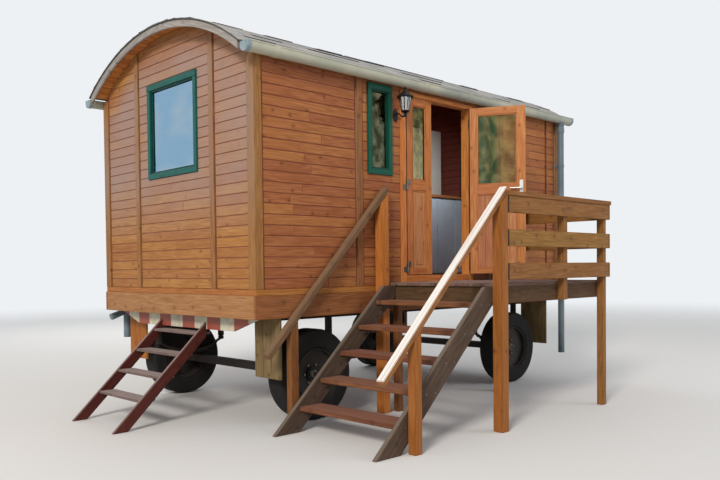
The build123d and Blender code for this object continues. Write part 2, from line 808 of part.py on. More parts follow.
deck_board_pitch = deck_width / deck_board_count
with BuildPart() as deck_boards:
    with Locations((deck_mid[0] - deck_nosing / 2, deck_mid[1], deck_frame_z1)):
        with GridLocations(1, deck_board_pitch, 1, deck_board_count):
            Box(
                deck_length + deck_nosing,
                deck_board_pitch - deck_board_gap,
                deck_board_thick,
                align=STANDING,
            )
deck_boards.part.label = "deck_boards"
export_step(deck_boards.part, "parts/deck_boards.step")

# Stair stringers: sloping boards with a level foot and a plumb head, and a cleat under each tread end
slope = tread_rise / tread_run
nose_x = deck_x0 - first_tread_from_deck
nose_z = deck_top_z - first_riser
edge_z = nose_z + edge_above_nose
stringer_drop = stringer_depth * math.hypot(1, slope)
foot_x = nose_x - edge_z / slope
head_x = nose_x + (deck_frame_z1 - edge_z) / slope
plumb_z = edge_z + (deck_x0 - nose_x) * slope - stringer_drop
inner_post_y = door_y - skirt_thick - seat_gap - post_size
inner_stringer_y = inner_post_y - stringer_thick
outer_stringer_y = deck_y0
tread_y0 = outer_stringer_y + stringer_thick
tread_y1 = inner_stringer_y
with BuildPart() as stair_stringers:
    for stringer_y, cleat_y in (
        (outer_stringer_y, tread_y0),
        (inner_stringer_y, tread_y1 - cleat_size),
    ):
        with BuildSketch(Plane.XZ.offset(-stringer_y - stringer_thick)):
            with BuildLine():
                Polyline(
                    (foot_x, 0),
                    (head_x, deck_frame_z1),
                    (deck_x0, deck_frame_z1),
                    (deck_x0, plumb_z),
                    (foot_x + stringer_drop / slope, 0),
                    close=True,
                )
            make_face()
        extrude(amount=stringer_thick)
        for step in range(tread_count - 1):
            cleat_x = nose_x - step * tread_run + cleat_size
            cleat_z = nose_z - step * tread_rise - tread_thick - cleat_size
            with Locations((cleat_x, cleat_y, cleat_z)):
                Box(tread_depth - 2 * cleat_size, cleat_size, cleat_size, align=LOW)
stair_stringers.part.label = "stair_stringers"
export_step(stair_stringers.part, "parts/stair_stringers.step")

with BuildPart() as stair_treads:
    for step in range(tread_count):
        tread_base_z = nose_z - step * tread_rise - tread_thick
        with Locations((nose_x - step * tread_run, tread_y0, tread_base_z)):
            Box(tread_depth, tread_y1 - tread_y0, tread_thick, align=LOW)
stair_treads.part.label = "stair_treads"
export_step(stair_treads.part, "parts/stair_treads.step")

# Stair posts, cut to the slope of the handrail that lies on them
inner_post_mid = inner_post_y + post_size / 2
outer_post_mid = door_y - post_face_reach + post_size / 2


def under_rail(along, foot, head):
    # Height of the handrail's underside at a place along the wagon
    rail_slope = (head[1] - foot[1]) / (head[0] - foot[0])
    return foot[1] + (along - foot[0]) * rail_slope - handrail_thick * math.hypot(1, rail_slope)


with BuildPart() as stair_posts:
    for post_from, size, post_mid, foot, head in (
        (inner_post_from, post_size, inner_post_mid, inner_rail_foot, inner_rail_head),
        (inner_low_post_from, low_post_size, inner_post_mid, inner_rail_foot, inner_rail_head),
        (outer_post_from, post_size, outer_post_mid, outer_rail_foot, outer_rail_head),
        (outer_low_post_from, low_post_size, outer_post_mid, outer_rail_foot, outer_rail_head),
    ):
        with BuildSketch(Plane.XZ.offset(-post_mid - size / 2)):
            with BuildLine():
                Polyline(
                    (end_x + post_from, 0),
                    (end_x + post_from + size, 0),
                    (end_x + post_from + size, under_rail(post_from + size, foot, head)),
                    (end_x + post_from, under_rail(post_from, foot, head)),
                    close=True,
                )
            make_face()
        extrude(amount=size)
stair_posts.part.label = "stair_posts"
export_step(stair_posts.part, "parts/stair_posts.step")

with BuildPart() as handrails:
    for rail_mid, foot, head in (
        (inner_post_mid, inner_rail_foot, inner_rail_head),
        (outer_post_mid, outer_rail_foot, outer_rail_head),
    ):
        with BuildSketch(Plane.XZ.offset(-rail_mid - handrail_width / 2)):
            with BuildLine():
                Polyline(
                    (end_x + foot[0], foot[1]),
                    (end_x + head[0], head[1]),
                    (end_x + head[0], under_rail(head[0], foot, head)),
                    (end_x + foot[0] + handrail_thick / 2, under_rail(foot[0] + handrail_thick / 2, foot, head)),
                    close=True,
                )
            make_face()
        extrude(amount=handrail_width)
handrails.part.label = "handrails"
export_step(handrails.part, "parts/handrails.step")

# Deck posts: one at the outer corner, a flat one amid the railing and two under the wall side
board_y = door_y - post_face_reach
board_back_y = board_y + railing_board_thick
under_cap_z = railing_top_z - railing_cap_thick
corner_post_x = deck_x1 - railing_post_width
with BuildPart() as deck_posts:
    with Locations((corner_post_x, board_back_y, 0)):
        Box(railing_post_width, deck_y0 - board_back_y, under_cap_z, align=LOW)
    with Locations((end_x + mid_post_from, board_back_y, deck_frame_z0)):
        Box(mid_post_width, deck_y0 - board_back_y, under_cap_z - deck_frame_z0, align=LOW)
    with Locations((corner_post_x, deck_y1 - deck_fascia_thick - railing_post_width, 0)):
        Box(railing_post_width, railing_post_width, deck_frame_z0, align=LOW)
    with Locations((corner_post_x, deck_y1 - railing_post_width, deck_top_z)):
        Box(railing_post_width, railing_post_width, under_cap_z - deck_top_z, align=LOW)
    with Locations((deck_x0 + deck_fascia_thick, deck_y1 - deck_fascia_thick - railing_post_width, 0)):
        Box(railing_post_width, railing_post_width, deck_frame_z0, align=LOW)
deck_posts.part.label = "deck_posts"
export_step(deck_posts.part, "parts/deck_posts.step")

# Railing boards along the front and the far end of the deck, under a flat cap
railing_x0 = end_x + outer_post_from + post_size + butt_gap
railing_y1 = door_y - railing_wall_gap
with BuildPart() as railing_boards:
    for level in range(railing_board_count):
        board_z = under_cap_z - railing_board_height - level * (railing_board_height + railing_board_gap)
        with Locations((railing_x0, board_y, board_z)):
            Box(deck_x1 - railing_x0, railing_board_thick, railing_board_height, align=LOW)
        with Locations((deck_x1 + butt_gap, board_y, board_z)):
            Box(railing_board_thick, railing_y1 - board_y, railing_board_height, align=LOW)
railing_boards.part.label = "railing_boards"
export_step(railing_boards.part, "parts/railing_boards.step")

cap_y = board_y - cap_lip
cap_x1 = deck_x1 + railing_board_thick + cap_lip
with BuildPart() as railing_cap:
    with Locations((railing_x0, cap_y, under_cap_z)):
        Box(cap_x1 - railing_x0, railing_cap_width, railing_cap_thick, align=LOW)
    with Locations((cap_x1 - railing_cap_width, cap_y + railing_cap_width + butt_gap, under_cap_z)):
        Box(
            railing_cap_width,
            railing_y1 - cap_y - railing_cap_width - butt_gap,
            railing_cap_thick,
            align=LOW,
        )
railing_cap.part.label = "railing_cap"
export_step(railing_cap.part, "parts/railing_cap.step")

# Chassis: two long channels under the joists, with cross members between them
rail_z = joist_base_z - rail_height
rail_mids = (door_y + rail_in + rail_width / 2, back_y - rail_in - rail_width / 2)
rail_spacing = rail_mids[1] - rail_mids[0]
with BuildPart() as chassis_frame:
    for rail_mid, inward in ((rail_mids[0], 1), (rail_mids[1], -1)):
        with BuildSketch(Plane.YZ.offset(end_x + rail_end_inset)):
            with Locations((rail_mid, rail_z + rail_height / 2)):
                Rectangle(rail_width, rail_height)
            with Locations((rail_mid - inward * rail_web, rail_z + rail_height / 2)):
                Rectangle(rail_width, rail_height - 2 * rail_web, mode=Mode.SUBTRACT)
        extrude(amount=body_length - 2 * rail_end_inset)
    member_pitch = body_length / 2 - cross_member_in - cross_member_width / 2
    with Locations((mid_x, mid_y, rail_z)):
        with GridLocations(member_pitch, 1, 3, 1):
            Box(
                cross_member_width,
                rail_spacing - rail_width - 2 * butt_gap,
                cross_member_height,
                align=STANDING,
            )
chassis_frame.part.label = "chassis_frame"
export_step(chassis_frame.part, "parts/chassis_frame.step")

# Warning bar across the window end, with its lower corners bevelled
bar_top_z = warning_bar_base_z + warning_bar_height
bar_half = body_width / 2 - warning_bar_inset
with BuildPart() as warning_bar:
    with BuildSketch(Plane.YZ.offset(end_x + rail_end_inset - warning_bar_thick)):
        with BuildLine():
            Polyline(
                (mid_y - bar_half, bar_top_z),
                (mid_y - bar_half, bar_top_z - warning_bar_end_height),
                (mid_y - bar_half + warning_bar_bevel, warning_bar_base_z),
                (mid_y + bar_half - warning_bar_bevel, warning_bar_base_z),
                (mid_y + bar_half, bar_top_z - warning_bar_end_height),
                (mid_y + bar_half, bar_top_z),
                close=True,
            )
        make_face()
    extrude(amount=warning_bar_thick)
warning_bar.part.label = "warning_bar"
export_step(warning_bar.part, "parts/warning_bar.step")

# Axles: a square beam between the wheels with a round stub at each end
axle_xs = (end_x + axle_from_end, far_x - axle_from_end)
wheel_mids = ((door_y + wheel_inset + tyre_width / 2, -1), (back_y - wheel_inset - tyre_width / 2, 1))
beam_length = body_width - 2 * (wheel_inset + tyre_width) - axle_size / 2
with BuildPart() as axles:
    with Locations(*[(axle_x, mid_y, wheel_radius) for axle_x in axle_xs]):
        Box(axle_size, beam_length, axle_size)
        Cylinder(stub_radius, body_width - 2 * wheel_inset - axle_size, rotation=(90, 0, 0))
axles.part.label = "axles"
export_step(axles.part, "parts/axles.step")

# Leaf springs: a stack of curved leaves, each shorter than the one above, with an eye at each end of
# the longest and a hanger over each eye
axle_top_z = wheel_radius + axle_size / 2
stack_height = spring_leaf_count * spring_leaf_thick
main_radius = (spring_half_length**2 + spring_sag**2) / (2 * spring_sag)
curve_z = axle_top_z + stack_height + main_radius
eye_z = axle_top_z + stack_height + spring_sag
with BuildPart() as leaf_springs:
    for axle_x in axle_xs:
        for rail_mid in rail_mids:
            for leaf in range(spring_leaf_count):
                inner_radius = main_radius + leaf * spring_leaf_thick
                half_length = spring_half_length - leaf * spring_leaf_step
                with BuildSketch(Plane.XZ.offset(-rail_mid - spring_width / 2)):
                    with Locations((axle_x, curve_z)):
                        Circle(inner_radius + spring_leaf_thick)
                        Circle(inner_radius, mode=Mode.SUBTRACT)
                        Rectangle(
                            2 * half_length,
                            2 * main_radius,
                            align=(Align.CENTER, Align.MAX),
                            mode=Mode.INTERSECT,
                        )
                extrude(amount=spring_width)
            for eye_x in (axle_x - spring_half_length, axle_x + spring_half_length):
                with Locations((eye_x, rail_mid, eye_z)):
                    Cylinder(eye_radius, spring_width, rotation=(90, 0, 0))
                hanger_z = eye_z + eye_radius + seat_gap
                with Locations((eye_x, rail_mid, hanger_z)):
                    Box(hanger_width, spring_width, rail_z - hanger_z, align=STANDING)
leaf_springs.part.label = "leaf_springs"
export_step(leaf_springs.part, "parts/leaf_springs.step")

# Wheels: rounded tyres on dished steel rims
with BuildPart() as tyres:
    for axle_x in axle_xs:
        for wheel_mid, outward in wheel_mids:
            with BuildSketch(Plane.YZ.offset(axle_x)):
                with Locations((wheel_mid, wheel_radius + (wheel_radius + rim_radius) / 2)):
                    RectangleRounded(tyre_width, wheel_radius - rim_radius, tyre_shoulder)
            revolve(axis=Axis((axle_x, wheel_mid, wheel_radius), (0, 1, 0)))
tyres.part.label = "tyres"
export_step(tyres.part, "parts/tyres.step")

with BuildPart() as wheel_rims:
    for axle_x in axle_xs:
        for wheel_mid, outward in wheel_mids:
            with BuildSketch(Plane.YZ.offset(axle_x)):
                with Locations((wheel_mid, wheel_radius + rim_radius)):
                    Rectangle(rim_width, rim_thick, align=(Align.CENTER, Align.MAX))
                with Locations((wheel_mid, wheel_radius + stub_radius)):
                    Rectangle(hub_length, hub_radius - stub_radius, align=(Align.CENTER, Align.MIN))
                with BuildLine():
                    Polyline(
                        (wheel_mid, wheel_radius + hub_radius - 1),
                        (wheel_mid + outward * disc_offset, wheel_radius + rim_radius - rim_thick),
                        (wheel_mid + outward * (disc_offset + rim_thick), wheel_radius + rim_radius - rim_thick),
                        (wheel_mid + outward * 2 * rim_thick, wheel_radius + hub_radius - 1),
                        close=True,
                    )
                make_face()
            revolve(axis=Axis((axle_x, wheel_mid, wheel_radius), (0, 1, 0)))
wheel_rims.part.label = "wheel_rims"
export_step(wheel_rims.part, "parts/wheel_rims.step")

# Boards that hang before the wheels, from the plates behind the skirt
with BuildPart() as mudguard_boards:
    for board_x in (end_x + mud_board_from, far_x - mud_board_from - mud_board_thick):
        for low_y in (door_y, back_y - mud_board_width):
            with Locations((board_x, low_y, mud_board_base_z)):
                Box(mud_board_thick, mud_board_width, joist_base_z - mud_board_base_z, align=LOW)
mudguard_boards.part.label = "mudguard_boards"
export_step(mudguard_boards.part, "parts/mudguard_boards.step")

# Portable steps that lean on the warning bar
portable_y = door_y + portable_from
portable_x0 = end_x - steps_reach
portable_run = steps_reach + rail_end_inset - warning_bar_thick - seat_gap
portable_slope = portable_head_z / portable_run
portable_drop = portable_board_depth * math.hypot(1, portable_slope)
with BuildPart() as portable_step_sides:
    for side_y in (portable_y, portable_y + portable_width - portable_board_thick):
        with BuildSketch(Plane.XZ.offset(-side_y - portable_board_thick)):
            with BuildLine():
                Polyline(
                    (portable_x0, 0),
                    (portable_x0 + portable_run, portable_head_z),
                    (portable_x0 + portable_run, portable_head_z - portable_drop),
                    (portable_x0 + portable_drop / portable_slope, 0),
                    close=True,
                )
            make_face()
        extrude(amount=portable_board_thick)
portable_step_sides.part.label = "portable_step_sides"
export_step(portable_step_sides.part, "parts/portable_step_sides.step")

with BuildPart() as portable_step_treads:
    for step in range(portable_tread_count):
        tread_z = portable_first_rise + step * portable_rise
        with Locations(
            (
                portable_x0 + tread_z / portable_slope,
                portable_y + portable_board_thick,
                tread_z - portable_tread_thick,
            )
        ):
            Box(
                portable_tread_depth,
                portable_width - 2 * portable_board_thick,
                portable_tread_thick,
                align=LOW,
            )
portable_step_treads.part.label = "portable_step_treads"
export_step(portable_step_treads.part, "parts/portable_step_treads.step")

# What shows through the doorway
with BuildPart() as counter:
    with Locations((end_x + counter_from, door_y + counter_in, floor_top_z)):
        Box(*counter_size, align=LOW)
    with Locations(
        (
            end_x + counter_from - counter_top_lip,
            door_y + counter_in - counter_top_lip,
            floor_top_z + counter_size[2],
        )
    ):
        Box(
            counter_size[0] + 2 * counter_top_lip,
            counter_size[1] + 2 * counter_top_lip,
            counter_top_thick,
            align=LOW,
        )
counter.part.label = "counter"
export_step(counter.part, "parts/counter.step")

with BuildPart() as cupboard:
    with Locations((end_x + cupboard_from, door_y + cupboard_in, floor_top_z)):
        Box(*cupboard_size, align=LOW)
cupboard.part.label = "cupboard"
export_step(cupboard.part, "parts/cupboard.step")
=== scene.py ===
# %% [markdown]
# # A circus wagon on wheels
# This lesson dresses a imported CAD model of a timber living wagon: horizontal boards on its walls, a
# shingled barrel roof, green windows, a two-leaf door, a deck with stairs and a wheeled chassis.
# The CAD model gives every place and size. Blender adds the boards, shingles, beads, nails and finishes.

# %% Load the frame
import json
import math
import random
import bmesh
import bpy
from mathutils import Matrix, Vector


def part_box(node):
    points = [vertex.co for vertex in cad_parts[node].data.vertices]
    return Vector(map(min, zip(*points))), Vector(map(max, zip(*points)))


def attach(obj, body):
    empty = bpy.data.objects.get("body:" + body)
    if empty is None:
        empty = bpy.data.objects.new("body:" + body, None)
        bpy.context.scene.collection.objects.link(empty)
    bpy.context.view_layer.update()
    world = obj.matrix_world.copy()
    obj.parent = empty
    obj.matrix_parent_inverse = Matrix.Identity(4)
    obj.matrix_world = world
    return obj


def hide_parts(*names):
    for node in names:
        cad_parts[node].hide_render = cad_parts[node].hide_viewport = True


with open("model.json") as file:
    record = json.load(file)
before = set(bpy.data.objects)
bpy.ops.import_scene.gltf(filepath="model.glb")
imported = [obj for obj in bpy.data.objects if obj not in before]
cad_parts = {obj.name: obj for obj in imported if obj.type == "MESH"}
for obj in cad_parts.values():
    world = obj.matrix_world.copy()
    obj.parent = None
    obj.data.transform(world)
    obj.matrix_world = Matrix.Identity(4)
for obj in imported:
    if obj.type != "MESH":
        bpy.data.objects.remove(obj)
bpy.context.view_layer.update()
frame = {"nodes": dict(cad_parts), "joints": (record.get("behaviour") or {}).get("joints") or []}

# %% [markdown]
# ## Where things are
# Every length is in metres, and the origin is on the ground under the middle of the whole model. The
# walls' own boxes give the wagon's corners, so a changed wall moves everything that is measured here.

# %% Measure the walls
window_end_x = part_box("window_end_wall")[0].x
far_end_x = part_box("far_end_wall")[1].x
door_face_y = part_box("door_wall_window_side")[0].y
back_face_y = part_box("back_wall")[1].y
wall_foot_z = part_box("back_wall")[0].z
middle_y = (door_face_y + back_face_y) / 2
body_length = far_end_x - window_end_x
body_width = back_face_y - door_face_y
shingle_top_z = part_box("roof_shingles")[1].z
roof_radius = 2.48
shingle_thick = 0.010
roof_board_thick = 0.024
roof_centre_z = shingle_top_z - shingle_thick - roof_radius
under_roof_radius = roof_radius - roof_board_thick
print("wagon body", round(body_length, 3), "by", round(body_width, 3))

# %% [markdown]
# ## Colours
# A hex colour picked from a screen is in sRGB. Shaders work with linear light, so one function turns
# each channel of the hex value to linear.

# %% Turn a hex colour to linear
def colour(hex_value):
    channels = [int(hex_value[i:i + 2], 16) / 255 for i in (1, 3, 5)]
    linear = [c / 12.92 if c <= 0.04045 else ((c + 0.055) / 1.055) ** 2.4 for c in channels]
    return (*linear, 1.0)


# %% [markdown]
# ## Adding shader nodes
# A procedural material is a tree of nodes. This helper adds one node, sets its properties by name and
# fills its inputs. An input gets either a plain value or another node's output, which is then linked.

# %% One helper for nodes
def add(tree, kind, inputs=None, **settings):
    node = tree.nodes.new(kind)
    for name, value in settings.items():
        setattr(node, name, value)
    for socket, value in (inputs or {}).items():
        if isinstance(value, bpy.types.NodeSocket):
            tree.links.new(value, node.inputs[socket])
        else:
            node.inputs[socket].default_value = value
    return node


def start_material(name):
    material = bpy.data.materials.new(name)
    material.use_nodes = True
    tree = material.node_tree
    return material, tree, tree.nodes["Principled BSDF"]


# %% [markdown]
# ## Timber
# Sawn softwood shows three things at three scales: growth rings that run along the board as long
# flames some 10 mm apart, fine fibres of about 1 mm, and a knot of about 20 mm every half metre or so.
# Each board's points carry its own place along, across and through the board in metres, in an attribute
# called grain, so the figure runs the right way whichever way a board lies. A second attribute, tone,
# is one random number a board, because no two boards take stain alike. The rings are contour lines of
# a stretched noise. Stained and oiled softwood is a dielectric with a satin skin: IOR 1.45 and a
# roughness of 0.5 to 0.7, rougher where rain and feet have worn it. Weather opens the skin's pores, so
# it gives back only half of a smooth skin's shine. Sun and rain bleach the window end to a pinkish grey
# that fades out towards the ground and under the roof's overhang.

# %% Draw the knots
def knot_nodes(tree, grain, knot_width):
    # One feature point in each 0.22 by 0.20 m of board, and a little over half of them get a knot
    along_scale, across_scale = 4.5, 5.0
    place = add(tree, "ShaderNodeMapping", {"Vector": grain, "Scale": (along_scale, across_scale, 1.0)})
    knots = add(tree, "ShaderNodeTexVoronoi", {"Vector": place.outputs[0], "Scale": 1.0},
                voronoi_dimensions="2D")
    bare = add(tree, "ShaderNodeMath", {0: knots.outputs["Color"], 1: 0.46}, operation="LESS_THAN")
    distance = add(tree, "ShaderNodeMath", {0: knots.outputs["Distance"], 1: bare.outputs[0]},
                   operation="ADD").outputs[0]
    edge = knot_width / 2 * across_scale
    heart = add(tree, "ShaderNodeMapRange", {"Value": distance, "From Min": edge, "From Max": edge * 0.4,
                                             "To Max": 0.75})
    halo = add(tree, "ShaderNodeMapRange", {"Value": distance, "From Min": edge * 3, "From Max": edge,
                                            "To Max": 0.4})
    return heart.outputs[0], halo.outputs[0]


# %% Bleach the window end
def bleach_nodes(tree, wood, object_place, patches, bleached, bleach_share):
    # From the window sill up to the eaves, less within 0.3 m of the roof, and only on faces that look
    # out from the window end
    height = add(tree, "ShaderNodeSeparateXYZ", {0: object_place})
    climb = add(tree, "ShaderNodeMapRange", {"Value": height.outputs["Z"], "From Min": 1.75,
                                             "From Max": 2.4})
    roof_axis = (0.0, middle_y - 0.12, roof_centre_z)
    from_axis = add(tree, "ShaderNodeVectorMath", {0: object_place, 1: roof_axis}, operation="SUBTRACT")
    flat_way = add(tree, "ShaderNodeVectorMath", {0: from_axis.outputs[0], 1: (0.0, 1.0, 1.0)},
                   operation="MULTIPLY")
    radius = add(tree, "ShaderNodeVectorMath", {0: flat_way.outputs[0]}, operation="LENGTH")
    open_air = add(tree, "ShaderNodeMapRange", {"Value": radius.outputs["Value"],
                                                "From Min": roof_radius - 0.05,
                                                "From Max": roof_radius - 0.34})
    facing_end = add(tree, "ShaderNodeVectorMath", {0: add(tree, "ShaderNodeTexCoord").outputs["Normal"],
                                                    1: (-1.0, 0.0, 0.0)}, operation="DOT_PRODUCT")
    bleach = add(tree, "ShaderNodeMath", {0: climb.outputs[0], 1: open_air.outputs[0]},
                 operation="MULTIPLY")
    streaks = add(tree, "ShaderNodeMapRange", {"Value": patches, "From Min": 0.3, "From Max": 0.65,
                                               "To Min": bleach_share * 0.6, "To Max": bleach_share})
    streaked = add(tree, "ShaderNodeMath", {0: bleach.outputs[0], 1: streaks.outputs[0]},
                   operation="MULTIPLY")
    share = add(tree, "ShaderNodeMath", {0: streaked.outputs[0], 1: facing_end.outputs["Value"]},
                operation="MULTIPLY", use_clamp=True)
    return add(tree, "ShaderNodeMix", {"Factor": share.outputs[0], "A": wood, "B": colour(bleached)},
               data_type="RGBA").outputs["Result"]


# %% Scuff and highlight what looks up
def wear_and_highlight_nodes(tree, wood, fibre_place, wear_and_highlight, wear_and_highlight_share):
    # Faces that look up are bleached and scuffed by rain and feet; a near-white top colour is a painted
    # highlight of sun
    facing = add(tree, "ShaderNodeNewGeometry").outputs["Normal"]
    upward = add(tree, "ShaderNodeSeparateXYZ", {0: facing}).outputs["Z"]
    top = add(tree, "ShaderNodeMapRange", {"Value": upward, "From Min": 0.45, "From Max": 0.75})
    scuff_and_light_noise = add(tree, "ShaderNodeTexNoise", {"Vector": fibre_place, "Scale": 0.25, "Detail": 4.0})
    scuffed_and_lit = add(tree, "ShaderNodeMapRange", {"Value": scuff_and_light_noise.outputs["Fac"], "From Min": 0.35,
                                               "From Max": 0.6, "To Min": wear_and_highlight_share * 0.6,
                                               "To Max": wear_and_highlight_share})
    share = add(tree, "ShaderNodeMath", {0: top.outputs[0], 1: scuffed_and_lit.outputs[0]},
                operation="MULTIPLY")
    return add(tree, "ShaderNodeMix", {"Factor": share.outputs[0], "A": wood, "B": colour(wear_and_highlight)},
               data_type="RGBA").outputs["Result"]


# %% Build a timber finish
def timber(name, light, middle, dark, knot="#5A2C16", tone_spread=0.22, rough=0.58, wear_and_highlight=None,
           wear_and_highlight_share=0.0, knot_width=0.022, stain_patches=0.35, bleached=None, bleach_share=0.0):
    material, tree, shader = start_material(name)
    grain = add(tree, "ShaderNodeAttribute", attribute_name="grain").outputs["Vector"]
    tone = add(tree, "ShaderNodeAttribute", attribute_name="tone").outputs["Fac"]

    # Growth rings: one flame is about 0.7 m long and 50 mm wide, cut into rings about 10 mm apart
    flame_place = add(tree, "ShaderNodeMapping", {"Vector": grain, "Scale": (1.4, 19.0, 19.0)})
    flame = add(tree, "ShaderNodeTexNoise", {"Vector": flame_place.outputs[0], "Scale": 1.0, "Detail": 2.0})
    ring_count = add(tree, "ShaderNodeMath", {0: flame.outputs["Fac"], 1: 11.0}, operation="MULTIPLY")
    rings = add(tree, "ShaderNodeMath", {0: ring_count.outputs[0], 1: 1.0}, operation="PINGPONG")
    body = add(tree, "ShaderNodeMix", {"Factor": rings.outputs[0], "A": colour(light), "B": colour(middle)},
               data_type="RGBA")

    # Fibres: real ones are under 1 mm, drawn 4 mm wide so that they show
    fibre_place = add(tree, "ShaderNodeMapping", {"Vector": grain, "Scale": (5.0, 240.0, 240.0)}).outputs[0]
    fibres = add(tree, "ShaderNodeTexNoise", {"Vector": fibre_place, "Scale": 1.0, "Detail": 3.0})
    fibre_share = add(tree, "ShaderNodeMapRange", {"Value": fibres.outputs["Fac"], "From Min": 0.42,
                                                   "From Max": 0.72, "To Max": 0.65})
    fibred = add(tree, "ShaderNodeMix", {"Factor": fibre_share.outputs[0], "A": body.outputs["Result"],
                                         "B": colour(dark)}, data_type="RGBA")

    # Patches where the stain took differently, about 0.45 m across
    object_place = add(tree, "ShaderNodeTexCoord").outputs["Object"]
    patches = add(tree, "ShaderNodeTexNoise", {"Vector": object_place, "Scale": 2.2, "Detail": 4.0})
    patch_share = add(tree, "ShaderNodeMapRange", {"Value": patches.outputs["Fac"], "From Min": 0.45,
                                                   "From Max": 0.75, "To Max": stain_patches})
    patched = add(tree, "ShaderNodeMix", {"Factor": patch_share.outputs[0], "A": fibred.outputs["Result"],
                                          "B": colour(middle)}, data_type="RGBA")

    knot_heart, knot_halo = knot_nodes(tree, grain, knot_width)
    ringed = add(tree, "ShaderNodeMix", {"Factor": knot_halo, "A": patched.outputs["Result"],
                                         "B": colour(dark)}, data_type="RGBA")
    knotted = add(tree, "ShaderNodeMix", {"Factor": knot_heart, "A": ringed.outputs["Result"],
                                          "B": colour(knot)}, data_type="RGBA")

    # Each board is a little darker or lighter, and redder or yellower, than the next
    value = add(tree, "ShaderNodeMapRange", {"Value": tone, "To Min": 1.0 - tone_spread,
                                             "To Max": 1.0 + tone_spread * 0.6})
    hue = add(tree, "ShaderNodeMapRange", {"Value": tone, "To Min": 0.494, "To Max": 0.506})
    wood = add(tree, "ShaderNodeHueSaturation", {"Color": knotted.outputs["Result"], "Hue": hue.outputs[0],
                                                 "Value": value.outputs[0]}).outputs["Color"]
    if bleached:
        wood = bleach_nodes(tree, wood, object_place, patches.outputs["Fac"], bleached, bleach_share)
    if wear_and_highlight:
        wood = wear_and_highlight_nodes(tree, wood, fibre_place, wear_and_highlight, wear_and_highlight_share)

    roughness = add(tree, "ShaderNodeMapRange", {"Value": fibres.outputs["Fac"], "To Min": rough - 0.1,
                                                 "To Max": rough + 0.12})
    relief = add(tree, "ShaderNodeMath", {0: fibres.outputs["Fac"], 1: knot_heart}, operation="ADD")
    bump = add(tree, "ShaderNodeBump", {"Height": relief.outputs[0], "Strength": 0.35, "Distance": 0.0012})
    tree.links.new(wood, shader.inputs["Base Color"])
    tree.links.new(roughness.outputs[0], shader.inputs["Roughness"])
    tree.links.new(bump.outputs[0], shader.inputs["Normal"])
    shader.inputs["IOR"].default_value = 1.45
    shader.inputs["Specular IOR Level"].default_value = 0.25
    return material


# %% [markdown]
# Every finish has three tones: pale early wood, darker late wood, and fibres. Stained pine glows orange,
# the window end's upper half has faded to pinkish grey, and trim boards are a shade duller than walls.

# %% Finishes of the walls and roof
cladding_pine = timber("stained_pine_cladding", "#B07248", "#985C34", "#6A3B20", tone_spread=0.13,
                       stain_patches=0.6)
sunned_pine = timber("sun_bleached_cladding", "#B47F49", "#9E6937", "#784A25", tone_spread=0.12,
                     stain_patches=0.5, bleached="#99827B", bleach_share=0.85)
trim_pine = timber("light_pine_trim", "#A07146", "#8B5D33", "#683F20", tone_spread=0.1,
                   bleached="#907C6F", bleach_share=0.65)
sill_pine = timber("sill_strip_pine", "#B57A42", "#A0662F", "#774620", tone_spread=0.06)
skirt_pine = timber("skirt_pine", "#AC7C55", "#97663F", "#70492B", tone_spread=0.08)
# Painted shade: the skirt boards on the long sides are darker and redder than the end ones, as their shade
shade_darkened_skirt_pine = timber("shaded_skirt_pine", "#9C683F", "#86542F", "#60391F", tone_spread=0.08)
verge_wood = timber("weathered_verge_boards", "#A8A29C", "#908A84", "#6C6762", knot="#3E3A36",
                    tone_spread=0.12, rough=0.75)
# The framing timber is partly painted light: brightened to stand for light bounced up under the overhang
roof_pine = timber("dark_framing_timber", "#CE8446", "#B66C34", "#7C4724", tone_spread=0.18, rough=0.6)
floor_wood = timber("brown_floor_boards", "#8A5B3A", "#734628", "#4C2E1B", tone_spread=0.18, rough=0.5)
khaki_wood = timber("khaki_mudguard_boards", "#87724F", "#715D3D", "#4E3F29", knot="#3C3222",
                    tone_spread=0.1, rough=0.72)
orange_wood = timber("orange_mudguard_boards", "#B06C30", "#9A5923", "#70401A", tone_spread=0.1, rough=0.6)
print("wall and roof timber made")

# %% [markdown]
# Planed door timber is the smoothest and most orange. The posts and rails of the deck are rougher sawn
# timber that has been stained at different times, so their tones differ, and the posts under the deck and
# the low stair post are painted darker still as shade. Boards that feet and rain reach are scuffed pale
# on top. The inner handrail is painted darker brown, partly as shade, and the outer handrail's top is a
# painted highlight of sun, almost white.

# %% Finishes of the door, deck and stairs
door_pine = timber("stained_door_pine", "#C8824E", "#B06A38", "#864826", tone_spread=0.1, rough=0.5)
frame_pine = timber("door_frame_pine", "#D48A4E", "#BC7036", "#8E4C26", tone_spread=0.1, rough=0.5)
panel_pine = timber("door_pine_panel", "#C58A60", "#AF7148", "#87502F", tone_spread=0.14, rough=0.5)
post_pine = timber("orange_stained_timber", "#A4682F", "#8E5524", "#673A18", tone_spread=0.12, rough=0.52)
new_post_pine = timber("fresh_orange_stained_timber", "#C47C3C", "#AC652D", "#80461F", tone_spread=0.08,
                       rough=0.52)
# Painted shade: the posts under the deck and the low stair post are darkened as the deck's shade
shade_darkened_post_pine = timber("shaded_post_timber", "#865830", "#714625", "#4E2F19", tone_spread=0.1, rough=0.6)
rail_pine = timber("olive_tan_boards", "#9A6C3A", "#815829", "#5A3C1D", knot="#4A3018", tone_spread=0.07,
                   wear_and_highlight="#A08464", wear_and_highlight_share=0.45)
